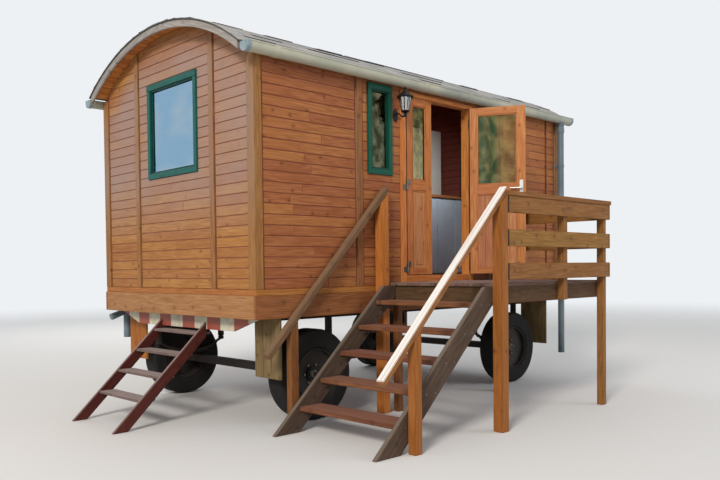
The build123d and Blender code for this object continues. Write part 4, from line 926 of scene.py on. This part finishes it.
# %% [markdown]
# ## Roof boards and shingles
# The barrel roof is boarded with narrow boards that run the length of the wagon, one beside the other
# round the curve. Over them lie courses of felt shingles. Each tab is 333 mm long and shows 140 mm, is
# a little thicker at its lower edge, and is set half a tab along from the course below.

# %% Round the roof
def on_roof(angle, radius, x):
    # Angle is measured from the crown, towards the back wall
    return Vector((x, middle_y + radius * math.sin(angle), roof_centre_z + radius * math.cos(angle)))


roof_low, roof_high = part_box("roof_boards")
half_angle = math.asin(body_width / 2 / roof_radius)
roof_boards = bmesh.new()
board_total = 33
board_angle = 2 * half_angle / board_total
joint_angle = 0.0018
for k in range(board_total):
    a0 = -half_angle + board_angle * k
    a1 = -half_angle + board_angle * (k + 1) - joint_angle
    outline = [on_roof(a0, under_roof_radius, roof_low.x), on_roof(a1, under_roof_radius, roof_low.x),
               on_roof(a1, roof_radius, roof_low.x), on_roof(a0, roof_radius, roof_low.x)]
    push_out(roof_boards, outline, Vector((roof_high.x - roof_low.x, 0, 0)))
make_piece("roof_matchboards", roof_boards, roof_pine, bevel=0.003, segments=1,
           replaces=("roof_boards",))

# %% Lay the shingles
skin_radius = roof_radius + shingle_thick
shingle_low, shingle_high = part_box("roof_shingles")
eave_angle = math.asin((shingle_high.y - shingle_low.y) / 2 / skin_radius)
tab_show = 0.140
tab_length = 0.333
slot_half = 0.003
tab_heel = 0.003
course_total = round(eave_angle * skin_radius / tab_show)
course_angle = eave_angle / course_total
tabs = bmesh.new()
lifted_tabs = bmesh.new()
for side in (-1, 1):
    for course in range(course_total):
        lower = side * (eave_angle - course * course_angle)
        upper = side * (eave_angle - (course + 1) * course_angle)
        x = shingle_low.x - (tab_length / 2 if course % 2 else 0.0)
        while x < shingle_high.x - 0.01:
            x0 = max(x + slot_half, shingle_low.x + 0.001)
            x1 = min(x + tab_length - slot_half, shingle_high.x - 0.001)
            if x1 - x0 > 0.02:
                is_lifted = seeded.random() < 0.3
                lift = seeded.uniform(0.004, 0.0065) if is_lifted else seeded.uniform(0.0, 0.0012)
                outline = [on_roof(lower, skin_radius - tab_heel, x0),
                           on_roof(upper, skin_radius - tab_heel, x0),
                           on_roof(upper, skin_radius + 0.0010, x0),
                           on_roof((lower + upper) / 2, skin_radius + 0.0026, x0),
                           on_roof(lower, skin_radius + 0.0034 + lift, x0)]
                push_out(lifted_tabs if is_lifted else tabs, outline, Vector((x1 - x0, 0, 0)))
            x += tab_length

# A row of bent caps covers the crown, 250 mm across
cap_half = 0.125 / skin_radius
x = shingle_low.x + 0.001
while x < shingle_high.x - 0.02:
    x1 = min(x + tab_show - slot_half, shingle_high.x - 0.001)
    outline = [on_roof(a, skin_radius + r, x) for a, r in (
        (-cap_half, 0.0), (0, 0.0), (cap_half, 0.0), (cap_half, 0.006), (0, 0.008), (-cap_half, 0.006))]
    push_out(tabs, outline, Vector((x1 - x, 0, 0)))
    x += tab_show
make_piece("shingle_tabs", tabs, shingles_grey, bevel=0)
make_piece("lifted_shingle_tabs", lifted_tabs, lifted_shingles, bevel=0)

# %% [markdown]
# ## Floor boards
# The floor is laid with boards 140 mm wide that run along the wagon.

# %% Lay the floor
floor_low, floor_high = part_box("floor")
floor_shape = bmesh.new()
floor_board = 0.140
floor_total = round((floor_high.y - floor_low.y) / floor_board)
floor_pitch = (floor_high.y - floor_low.y) / floor_total
for k in range(floor_total):
    y = floor_low.y + k * floor_pitch
    box(floor_shape, (floor_low.x, y, floor_low.z), (floor_high.x, y + floor_pitch - 0.001, floor_high.z))
make_piece("floor_boards", floor_shape, floor_wood, bevel=0.002, segments=1,
           replaces=("floor",))

# %% [markdown]
# ## Windows
# Each window has a painted casing of four boards, with the head lapped over the jambs, and a darker
# sash round the glass. The members are drawn one by one, so the grain turns at the corners.

# %% Frame a window
frame_width = 0.072
casing_width = 0.056
casing_proud = 0.028
jamb_back = 0.004  # The head stands this much prouder than the other three boards
head_extra = 0.006
sash_proud = 0.014


def window_members(casing, sash, low, high, wall_axis, face, outward):
    # Low and high are the frame's corners. The wall axis is 0 or 1, whichever runs along the wall
    depth_axis = 1 - wall_axis
    inner = low[depth_axis] if outward > 0 else high[depth_axis]
    front = face + outward * casing_proud

    def member(shape, u0, u1, z0, z1, d0, d1):
        a, b = [0.0] * 3, [0.0] * 3
        a[wall_axis], b[wall_axis] = u0, u1
        a[depth_axis], b[depth_axis] = min(d0, d1), max(d0, d1)
        a[2], b[2] = z0, z1
        box(shape, a, b)

    def four_members(shape, u0, u1, z0, z1, side, foot, head, d0, d1, head_d1):
        # Head and sill run the whole width, and the two jambs stand between them
        member(shape, u0, u1, z1 - head, z1, d0, head_d1)
        member(shape, u0, u1, z0, z0 + foot, d0, d1)
        member(shape, u0, u0 + side, z0 + foot, z1 - head, d0, d1)
        member(shape, u1 - side, u1, z0 + foot, z1 - head, d0, d1)

    u0, u1 = low[wall_axis], high[wall_axis]
    w, lap = casing_width, frame_width / 2
    four_members(casing, u0, u1, low.z, high.z, w, w, w + head_extra,
                 face, front - outward * jamb_back, front)
    four_members(casing, u0 + lap, u1 - lap, low.z + lap, high.z - lap, lap, lap, lap, inner, face, face)
    s = frame_width - w
    sash_front = face + outward * sash_proud
    four_members(sash, u0 + w, u1 - w, low.z + w, high.z - w - head_extra, s, s, s,
                 face, sash_front, sash_front)


for kind, windows, wall_axis, near_face, far_face, paint in (
    ("narrow", narrow_windows, 0, door_face_y, back_face_y, green_wood),
    ("end", end_windows, 1, window_end_x, far_end_x, sky_green_wood),
):
    casing = bmesh.new()
    sash = bmesh.new()
    for low, high in windows:
        if low[1 - wall_axis] < near_face:
            window_members(casing, sash, low, high, wall_axis, near_face, -1)
        else:
            window_members(casing, sash, low, high, wall_axis, far_face, 1)
    make_piece(kind + "_window_casings", casing, paint, bevel=0.003,
               replaces=(kind + "_window_frames",))
    make_piece(kind + "_window_sashes", sash, dark_green_wood, bevel=0.002)

# %% Panes
pane_edge = 0.001
narrow_panes = bmesh.new()
end_panes = bmesh.new()
for low, high in solid_boxes("window_panes"):
    pane = end_panes if high.x - low.x < high.y - low.y else narrow_panes
    box(pane, low, high)
make_piece("narrow_window_panes", narrow_panes, narrow_glass, bevel=pane_edge, segments=1,
           replaces=("window_panes",))
make_piece("end_window_panes", end_panes, end_glass, bevel=pane_edge, segments=1,
           replaces=("window_panes",))

# %% [markdown]
# ## Mudguard boards
# One upright board hangs beside each wheel, made from whatever was to hand: the pair on the door side is
# khaki with age and moss, and the pair at the back is newer, orange-stained timber.

# %% Hang the mudguard boards
khaki_boards = bmesh.new()
orange_boards = bmesh.new()
planks = 3
for low, high in solid_boxes("mudguard_boards"):
    shape = khaki_boards if low.y < middle_y else orange_boards
    plank = (high.y - low.y) / planks
    for k in range(planks):
        y = low.y + plank * k
        box(shape, (low.x, y, low.z), (high.x, y + plank - 0.002, high.z))
make_piece("khaki_mudguard_planks", khaki_boards, khaki_wood, bevel=0.003,
           replaces=("mudguard_boards",))
make_piece("orange_mudguard_planks", orange_boards, orange_wood, bevel=0.003,
           replaces=("mudguard_boards",))

# %% [markdown]
# ## Door leaves
# A framed door leaf has two upright stiles and three rails between them. The sizes match the CAD leaves.
# Each leaf is drawn square to its hinge line, then turned: the narrow leaf is shut and the wide one
# stands open by 120 degrees. The narrow leaf's panel is one raised board, and the wide one's is made of
# upright tongued boards. Thin black rubber strips on the hinge side of each leaf are painted shade: they
# draw the dark gap there.

# %% Leaf sizes and places
hinge_edge = 0.0035
leaf_thick = 0.044
hinge_stand_off = 0.012
stile = 0.092
top_rail = 0.080
middle_rail = 0.105
bottom_rail = 0.060
middle_rail_z = 0.897
bead = 0.014
panel_half = 0.009
raised_half = 0.015
raised_margin = 0.045
tongued_board = 0.088
joints = {j["child"]: Vector(j["pos_m"]) for j in frame["joints"]}
left_low, left_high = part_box("left_leaf_frame")
leaf_height = left_high.z - left_low.z
narrow_leaf = left_high.x - left_low.x
wide_leaf = 0.628
left_turn = Matrix.Translation(joints["left_leaf"])
# The wide leaf is hinged on its right, so when it is shut it lies half a turn from how it is drawn
half_turn, open_by = 180.0, 120.0
right_turn = (Matrix.Translation(joints["right_leaf"])
              @ Matrix.Rotation(math.radians(half_turn + open_by), 4, "Z"))
print("leaf", round(leaf_height, 3), "high, narrow leaf", round(narrow_leaf, 3), "wide")


# %% Build a leaf
def build_leaf(name, width, mid_y, turn, body, tongued):
    x0, x1 = hinge_edge, hinge_edge + width
    y0, y1 = mid_y - leaf_thick / 2, mid_y + leaf_thick / 2
    members = bmesh.new()
    box(members, (x0, y0, 0), (x0 + stile, y1, leaf_height), turn)
    box(members, (x1 - stile, y0, 0), (x1, y1, leaf_height), turn)
    for z0, z1 in ((0, bottom_rail), (middle_rail_z, middle_rail_z + middle_rail),
                   (leaf_height - top_rail, leaf_height)):
        box(members, (x0 + stile, y0, z0), (x1 - stile, y1, z1), turn)
    make_piece(name + "_stiles_and_rails", members, door_pine, body, 0.003,
               replaces=(name + "_frame",))
    beads = bmesh.new()
    for z0, z1 in ((bottom_rail, middle_rail_z), (middle_rail_z + middle_rail, leaf_height - top_rail)):
        for face, depth in ((y0 + 0.004, y0 + 0.016), (y1 - 0.016, y1 - 0.004)):
            box(beads, (x0 + stile, face, z0), (x0 + stile + bead, depth, z1), turn)
            box(beads, (x1 - stile - bead, face, z0), (x1 - stile, depth, z1), turn)
            box(beads, (x0 + stile + bead, face, z0), (x1 - stile - bead, depth, z0 + bead), turn)
            box(beads, (x0 + stile + bead, face, z1 - bead), (x1 - stile - bead, depth, z1), turn)
    make_piece(name + "_beads", beads, door_pine, body, 0.004)
    panel = bmesh.new()
    inside = width - 2 * stile
    count = round(inside / tongued_board) if tongued else 1
    for k in range(count):
        a = x0 + stile + inside * k / count
        b = x0 + stile + inside * (k + 1) / count - (0.002 if tongued else 0.0)
        box(panel, (a, mid_y - panel_half, bottom_rail), (b, mid_y + panel_half, middle_rail_z), turn)
    if not tongued:
        box(panel, (x0 + stile + raised_margin, mid_y - raised_half, bottom_rail + raised_margin),
            (x1 - stile - raised_margin, mid_y + raised_half, middle_rail_z - raised_margin), turn)
    make_piece(name + "_panel_boards", panel, panel_pine, body, 0.003,
               replaces=(name + "_panel",))


strip_proud = 0.0015
# Painted shade: a thin black strip draws the dark gap beside the narrow leaf's hinge edge
hinge_gap_shade = bmesh.new()
box(hinge_gap_shade, (left_low.x - 0.011, door_low.y - strip_proud, left_low.z),
    (left_low.x - 0.001, door_low.y + 0.01, left_high.z))
make_piece("door_edge_gap_shade", hinge_gap_shade, rubber, bevel=0.0005, segments=1)
leaf_middle = hinge_stand_off + leaf_thick / 2
build_leaf("left_leaf", narrow_leaf, leaf_middle, left_turn, "left_leaf", False)
build_leaf("right_leaf", wide_leaf, -leaf_middle, right_turn, "right_leaf", True)
# Painted shade: a thin black strip on the wide leaf draws the dark gap at its hinge edge
wide_leaf_gap_shade = bmesh.new()
inner_face = -hinge_stand_off - leaf_thick
box(wide_leaf_gap_shade, (hinge_edge, inner_face - strip_proud, 0.0),
    (hinge_edge + 0.013, inner_face + 0.001, leaf_height), right_turn)
make_piece("hinge_side_gap_shade", wide_leaf_gap_shade, rubber, "right_leaf", 0.0004,
           segments=1)

# %% [markdown]
# ## Counter
# The counter inside has a grey-blue carcass with panelled doors and a dark wooden top.

# %% Build the counter
counter_low, counter_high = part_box("counter")
top_thick = 0.036
lip = 0.015
carcass = bmesh.new()
box(carcass, (counter_low.x + lip, counter_low.y + lip, counter_low.z),
    (counter_high.x - lip, counter_high.y - lip, counter_high.z - top_thick))
door_count = 3
door_width = (counter_high.x - counter_low.x - 2 * lip) / door_count
door_gap_half = 0.004
plinth = 0.09
for k in range(door_count):
    a = counter_low.x + lip + k * door_width
    box(carcass, (a + door_gap_half, counter_low.y + 0.001, counter_low.z + plinth),
        (a + door_width - door_gap_half, counter_low.y + lip, counter_high.z - top_thick - 0.02))
make_piece("counter_carcass", carcass, cabinet_paint, bevel=0.002,
           replaces=("counter",))
top = bmesh.new()
box(top, (counter_low.x, counter_low.y, counter_high.z - top_thick), counter_high)
make_piece("counter_top", top, floor_wood, bevel=0.004)

# %% [markdown]
# ## Turned shapes and bent bars
# Lamps, nuts and finials are turned: a profile of radius and height is spun round an axis. With six
# sides the same helper makes a six-sided lantern. A bent bar is a ring that follows a row of points.

# %% Turn a profile, bend a bar
def turned(shape, centre, profile, sides, axis=Vector((0, 0, 1))):
    one = axis.orthogonal().normalized()
    two = axis.cross(one)
    join_rings(shape, [ring(shape, centre + axis * height, one, two, radius, sides)
                       for radius, height in profile])


def bent_bar(shape, points, radius, sides=10):
    rings = []
    side = None
    for i, point in enumerate(points):
        ahead_point = points[min(i + 1, len(points) - 1)]
        behind_point = points[max(i - 1, 0)]
        along = (ahead_point - behind_point).normalized()
        side = along.orthogonal() if side is None else side - along * side.dot(along)
        side.normalize()
        rings.append(ring(shape, point, side, along.cross(side), radius, sides))
    join_rings(shape, rings)


# %% [markdown]
# ## Wall lantern
# The lantern is a cast aluminium carriage lamp with black powder coat: an oval wall plate, an S-shaped
# arm, a six-sided cage that widens upwards, and a wide-brimmed roof with a finial.

# %% Build the lantern
glass_low, glass_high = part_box("lantern_glass")
lamp_x = (glass_low.x + glass_high.x) / 2
lamp_y = (glass_low.y + glass_high.y) / 2
lamp_foot = Vector((lamp_x, lamp_y, glass_low.z))
cage_height = glass_high.z - glass_low.z
lantern = bmesh.new()
cage_sides = 6
lamp_base = ((0.006, -0.062), (0.013, -0.055), (0.006, -0.046), (0.010, -0.036), (0.020, -0.024),
             (0.047, -0.012), (0.049, -0.001))
lamp_roof = ((0.062, -0.004), (0.094, -0.004), (0.098, 0.004), (0.070, 0.020), (0.046, 0.042),
             (0.030, 0.062), (0.022, 0.070), (0.010, 0.073))
finial = ((0.010, 0.0), (0.006, 0.008), (0.013, 0.016), (0.015, 0.023), (0.010, 0.031), (0.003, 0.038))
turned(lantern, lamp_foot, lamp_base, cage_sides)
turned(lantern, lamp_foot + Vector((0, 0, cage_height)), lamp_roof, cage_sides)
turned(lantern, lamp_foot + Vector((0, 0, cage_height + 0.070)), finial, 16)
for k in range(cage_sides):
    a = 2 * math.pi * k / cage_sides
    out = Vector((-math.sin(a), math.cos(a), 0))
    low_point = lamp_foot + out * 0.0455
    high_point = lamp_foot + out * 0.0615 + Vector((0, 0, cage_height))
    bar(lantern, low_point, high_point, 0.004, sides=6)

# %% Add its wall plate and arm
# The oval plate is 68 by 136 mm, and the arm leaves it in one S
plate_z = lamp_foot.z - 0.032
plate = [Vector((lamp_x + 0.034 * math.cos(a), door_face_y - 0.008, plate_z + 0.068 * math.sin(a)))
         for a in [2 * math.pi * k / 28 for k in range(28)]]
push_out(lantern, plate, Vector((0, -0.009, 0)))
arm_start_y = door_face_y - 0.014
arm_steps = 14
arm = []
for k in range(arm_steps + 1):
    t = k / arm_steps
    rise = 0.020 * math.sin(t * 2 * math.pi) - 0.010 * t
    arm.append(Vector((lamp_x, arm_start_y + (lamp_y - arm_start_y) * t, plate_z + rise)))
bent_bar(lantern, arm, 0.0075)
make_piece("lantern_cage", lantern, black_paint, bevel=0.0008, segments=1,
           replaces=("lantern_body",))

# %% [markdown]
# ## Gutter fittings
# Half-round gutters come in lengths that join in a wider union, close in stop ends and empty through an
# outlet. The rolled front lip stiffens the channel. The downpipes are held by a socket at the top and
# by clips.

# %% Fit the gutters
gutter_boxes = solid_boxes("gutters")
gutter_round = 0.056
union_width = 0.060
stop_width = 0.035
bracket_reach = 0.075
bracket_count = 7
gutter_lip = gutter_boxes[0][1].z
gutter_axis_z = gutter_boxes[0][0].z + gutter_round
fittings = bmesh.new()
caps = bmesh.new()
lips = bmesh.new()


def gutter_outline(x, mid_y, radius, lip_z):
    points = [Vector((x, mid_y + radius * math.cos(a), gutter_axis_z + radius * math.sin(a)))
              for a in [-math.pi * k / 16 for k in range(17)]]
    return [Vector((x, mid_y + radius, lip_z))] + points + [Vector((x, mid_y - radius, lip_z))]


def gutter_band(shape, x, mid_y, width, thick):
    outer = gutter_outline(x, mid_y, gutter_round + thick, gutter_lip + 0.002)
    inner = gutter_outline(x, mid_y, gutter_round + 0.0004, gutter_lip + 0.002)
    push_out(shape, outer + list(reversed(inner)), Vector((width, 0, 0)))


for low, high in gutter_boxes:
    outward = -1 if low.y < middle_y else 1
    mid_y = (low.y + gutter_round) if outward < 0 else (high.y - gutter_round)
    # Places of the unions, measured from the window end
    unions = (0.164, 2.129, 2.879) if outward < 0 else (1.6, 3.3)
    for place in unions:
        gutter_band(fittings, window_end_x + place - union_width / 2, mid_y, union_width, 0.004)
    for x, inside in ((low.x, 1), (high.x, -1)):
        gutter_band(caps, x if inside > 0 else x - stop_width, mid_y, stop_width, 0.005)
        push_out(caps, gutter_outline(x - inside * 0.003, mid_y, gutter_round + 0.005, gutter_lip + 0.002),
                 Vector((inside * 0.0028, 0, 0)))
    edge_y = mid_y + outward * (gutter_round - 0.001)
    bar(lips, Vector((low.x, edge_y, gutter_lip)), Vector((high.x, edge_y, gutter_lip)), 0.006, sides=10)
    wall_side_y = mid_y - outward * bracket_reach
    for k in range(bracket_count):
        x = low.x + (high.x - low.x) * (k + 0.5) / bracket_count
        box(fittings, (x - 0.012, min(edge_y, wall_side_y), gutter_lip + 0.002),
            (x + 0.012, max(edge_y, wall_side_y), gutter_lip + 0.005))
make_piece("gutter_unions_and_brackets", fittings, zinc, bevel=0.0008, segments=1)
make_piece("gutter_stop_ends", caps, end_cap_grey, bevel=0.0008, segments=1)
make_piece("gutter_rolled_lips", lips, zinc, bevel=0, smooth=True)

# %% Fit the downpipes
pipe_sides = 24
pipe_inside = 0.0405
socket = ((pipe_inside, 0), (0.046, 0), (0.047, 0.006), (0.047, 0.064), (0.046, 0.07),
          (pipe_inside, 0.07))
outlet = ((pipe_inside, 0), (0.044, 0), (0.058, 0.03), (0.058, 0.034), (pipe_inside, 0.034))
clip = ((0.0402, 0), (0.0435, 0), (0.0435, 0.03), (0.0402, 0.03))
outlet_z = gutter_axis_z - gutter_round
pipe_fittings = bmesh.new()
for low, high in solid_boxes("downpipes"):
    mid = Vector(((low.x + high.x) / 2, (low.y + high.y) / 2, 0))
    outward = -1 if low.y < middle_y else 1
    wall_y = door_face_y if outward < 0 else back_face_y
    pipe_back_y = mid.y - outward * 0.039
    for profile, z in ((socket, outlet_z - 0.12), (socket, (low.z + high.z) / 2 + 0.3),
                       (outlet, outlet_z - 0.035)):
        turned(pipe_fittings, mid + Vector((0, 0, z)), profile, pipe_sides)
    for z in (1.45, 2.75):
        box(pipe_fittings, (mid.x - 0.015, min(pipe_back_y, wall_y), z),
            (mid.x + 0.015, max(pipe_back_y, wall_y), z + 0.03))
        turned(pipe_fittings, mid + Vector((0, 0, z)), clip, pipe_sides)
    if outward > 0:
        bar(pipe_fittings, Vector((mid.x - 0.02, mid.y, 0.985)), Vector((mid.x - 0.20, mid.y, 0.925)),
            0.034, 0.038, sides=pipe_sides)
make_piece("downpipe_fittings", pipe_fittings, pipe_zinc, bevel=0.0008, segments=1)

# %% [markdown]
# ## Conduit
# A thin cable conduit runs up the long wall near its far end, from the sill to just under the gutter,
# held by five flat saddles.

# %% Run the conduit
conduit = bmesh.new()
conduit_x = window_end_x + 4.618
conduit_y = door_face_y - 0.016
conduit_top_z = 3.33
bar(conduit, Vector((conduit_x, conduit_y, wall_foot_z + 0.01)),
    Vector((conduit_x, conduit_y, conduit_top_z)), 0.007, sides=12)
for k in range(5):
    z = wall_foot_z + 0.2 + k * 0.42
    box(conduit, (conduit_x - 0.018, door_face_y - 0.020, z),
        (conduit_x + 0.018, door_face_y - 0.007, z + 0.016))
make_piece("cable_conduit", conduit, brown_cable, bevel=0.001, segments=1)

# %% [markdown]
# ## Nails and bolts
# Trim boards are nailed every 0.35 m, and rails and stairs are held with coach bolts. Heads are 8 to
# 18 mm across, slightly domed, and stand 1.5 to 4 mm proud.

# %% Drive the nails
def head(shape, centre, normal, radius, proud):
    turned(shape, centre, ((radius, -0.001), (radius, proud * 0.4), (radius * 0.6, proud)), 10, axis=normal)


nails = bmesh.new()
nail_pitch = 0.35
for low, high in trims:
    size = high - low
    if size.z < 1.0:
        continue
    # A tall trim lies flat on a wall: it is wide along the wall and thin through it
    along, through = (0, 1) if size.x > size.y else (1, 0)
    is_low_side = low.y < middle_y if through == 1 else low.x < window_end_x + 1
    normal, place = Vector(), Vector()
    normal[through] = -1 if is_low_side else 1
    place[through] = low[through] if is_low_side else high[through]
    place.z = low.z + 0.12
    while place.z < high.z - 0.1:
        for share in (0.25, 0.75):
            place[along] = low[along] + size[along] * share
            head(nails, place, normal, 0.004, 0.0015)
        place.z += nail_pitch
skirt_low, skirt_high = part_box("skirt_boards")
for along, through, count in ((0, 1, 10), (1, 0, 6)):
    for k in range(count):
        for z in (skirt_low.z + 0.05, skirt_high.z - 0.05):
            for face, way in ((skirt_low, -1), (skirt_high, 1)):
                normal, place = Vector(), Vector((0, 0, z))
                normal[through] = way
                place[through] = face[through]
                place[along] = skirt_low[along] + (skirt_high[along] - skirt_low[along]) * (k + 0.5) / count
                head(nails, place, normal, 0.006, 0.002)
make_piece("trim_nails", nails, steel, bevel=0)

# %% Fit the coach bolts
bolts = bmesh.new()
for low, high in solid_boxes("railing_boards"):
    if high.x - low.x < high.y - low.y:
        continue
    for x in (low.x + 0.045, (low.x + high.x) / 2 + 0.10, high.x - 0.055):
        for z in (low.z + 0.045, high.z - 0.045):
            head(bolts, Vector((x, low.y, z)), Vector((0, -1, 0)), 0.008, 0.003)
stringer_face_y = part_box("stair_stringers")[0].y
for low, high in solid_boxes("stair_treads"):
    for x in (low.x + 0.06, high.x - 0.09):
        head(bolts, Vector((x, stringer_face_y, (low.z + high.z) / 2)), Vector((0, -1, 0)), 0.009, 0.004)
make_piece("coach_bolts", bolts, steel, bevel=0)

# %% [markdown]
# ## Wheel nuts
# Each disc wheel is held by six nuts round its hub, under a shallow hub cap.

# %% Fit nuts and hub caps
nuts = bmesh.new()
nut_count = 6
nut_circle = 0.095
nut = ((0.014, 0), (0.014, 0.016), (0.010, 0.019))
hub_cap = ((0.045, 0), (0.045, 0.012), (0.036, 0.026), (0.015, 0.031))
for low, high in solid_boxes("wheel_rims"):
    if high.x - low.x < 0.3:
        continue
    centre = (low + high) / 2
    normal = Vector((0, -1 if low.y < middle_y else 1, 0))
    for k in range(nut_count):
        a = 2 * math.pi * k / nut_count
        place = centre + normal * 0.020 + Vector((math.cos(a), 0, math.sin(a))) * nut_circle
        turned(nuts, place, nut, 6, axis=normal)
    turned(nuts, centre + normal * 0.0445, hub_cap, 24, axis=normal)
make_piece("wheel_nuts", nuts, steel, bevel=0)

# %% [markdown]
# ## Studio
# The wagon stands on a pale floor under a pale sky. The camera, mirrors and glass see the sky at full
# strength, and the wagon is lit by a weaker one, so the background stays white and colours stay true.

# %% Lay the floor of the studio
floor_radius = 45.0
floor_mesh = bmesh.new()
bmesh.ops.create_circle(floor_mesh, cap_ends=True, segments=96, radius=floor_radius)
studio_mesh = bpy.data.meshes.new("studio_floor")
floor_mesh.to_mesh(studio_mesh)
floor_mesh.free()
studio_floor = bpy.data.objects.new("studio_floor", studio_mesh)
studio_floor.location.z = -0.002
bpy.context.scene.collection.objects.link(studio_floor)
floor_material, tree, shader = start_material("pale_studio_floor")
shader.inputs["Base Color"].default_value = colour("#E3E2E0")
shader.inputs["Roughness"].default_value = 0.9
shader.inputs["Specular IOR Level"].default_value = 0.2
place = add(tree, "ShaderNodeTexCoord").outputs["Object"]
distance = add(tree, "ShaderNodeVectorMath", {0: place}, operation="LENGTH").outputs["Value"]
# Between 8 and 26 m from its middle the floor fades out, so it meets the pale sky without an edge
fade = add(tree, "ShaderNodeMapRange", {"Value": distance, "From Min": 8.0, "From Max": 26.0},
           interpolation_type="SMOOTHSTEP")
clear = add(tree, "ShaderNodeBsdfTransparent")
faded = add(tree, "ShaderNodeMixShader", {0: fade.outputs[0], 1: shader.outputs[0], 2: clear.outputs[0]})
tree.links.new(faded.outputs[0], tree.nodes["Material Output"].inputs["Surface"])
studio_mesh.materials.append(floor_material)

# %% Light the sky
world = bpy.data.worlds.new("pale_sky")
bpy.context.scene.world = world
world.use_nodes = True
sky = world.node_tree
sky_light = sky.nodes["Background"]
sky_light.inputs["Color"].default_value = colour("#EEF1F4")
rays = add(sky, "ShaderNodeLightPath")
seen = add(sky, "ShaderNodeMath", {0: rays.outputs["Is Camera Ray"], 1: rays.outputs["Is Glossy Ray"]},
           operation="MAXIMUM")
seen_or_through = add(sky, "ShaderNodeMath", {0: seen.outputs[0],
                                              1: rays.outputs["Is Transmission Ray"]}, operation="MAXIMUM")
lighting_strength, seen_strength = 0.52, 1.0
strength = add(sky, "ShaderNodeMapRange", {"Value": seen_or_through.outputs[0],
                                           "To Min": lighting_strength, "To Max": seen_strength})
sky.links.new(strength.outputs[0], sky_light.inputs["Strength"])

# %% [markdown]
# A large soft key light stands in for the sun, high and to the left. A weaker one fills the long wall
# from the front right, and one lights the back. A small lamp hangs under the roof just inside the door,
# tilted towards the back wall, so that the counter and the lining show through the doorway.

# %% Lamps
wagon_middle = Vector((0.0, 0.7, 2.0))


def soft_lamp(name, location, size, power, tint, painted_reflection):
    light = bpy.data.lights.new(name, "AREA")
    light.shape = "DISK"
    light.size = size
    light.energy = power
    light.color = colour(tint)[:3]
    lamp = bpy.data.objects.new(name, light)
    lamp.location = location
    lamp.rotation_euler = (wagon_middle - lamp.location).to_track_quat("-Z", "Y").to_euler()
    lamp.visible_glossy = painted_reflection
    lamp.visible_transmission = painted_reflection
    bpy.context.scene.collection.objects.link(lamp)
    return lamp


soft_lamp("key_light", Vector((-24.0, -12.7, 16.0)), 7.0, 6600.0, "#FFF8EF", True)
soft_lamp("fill_light", Vector((7.0, -11.0, 6.0)), 7.0, 400.0, "#F2F5FF", False)
soft_lamp("back_light", Vector((4.0, 12.0, 8.0)), 7.0, 460.0, "#FFFFFF", False)
inside_light = soft_lamp("inside_light", Vector((0.98, door_face_y + 0.38, 3.15)), 0.5, 25.0, "#F3F2F4",
                         False)
inside_light.rotation_euler = (math.radians(42.0), 0.0, 0.0)
inside_light.data.spread = math.radians(150.0)
inside_light.visible_camera = False

# %% [markdown]
# ## Camera
# The camera was worked out from the wagon's edges in the photograph: it stands off the near corner of
# the stairs at eye height and looks along the diagonal, almost level.

# %% Place the camera
yaw, pitch, roll = (math.radians(a) for a in (43.602, -1.554, -0.636))
level_right = Vector((math.cos(yaw), -math.sin(yaw), 0.0))
ahead = Vector((math.sin(yaw) * math.cos(pitch), math.cos(yaw) * math.cos(pitch), math.sin(pitch)))
level_up = level_right.cross(ahead)
right = math.cos(roll) * level_right + math.sin(roll) * level_up
up = -math.sin(roll) * level_right + math.cos(roll) * level_up
camera_data = bpy.data.cameras.new("camera")
camera_data.sensor_width = 36.0
camera_data.lens = 37.71
camera_data.shift_x = 0.0110
camera_data.shift_y = 0.0680
camera = bpy.data.objects.new("camera", camera_data)
camera_place = Vector((window_end_x - 3.952, door_face_y - 5.361, 1.458))
camera_axes = Matrix((right, up, -ahead)).transposed().to_4x4()
camera.matrix_world = Matrix.Translation(camera_place) @ camera_axes
bpy.context.scene.collection.objects.link(camera)
bpy.context.scene.camera = camera
bpy.context.scene.view_settings.view_transform = "Standard"
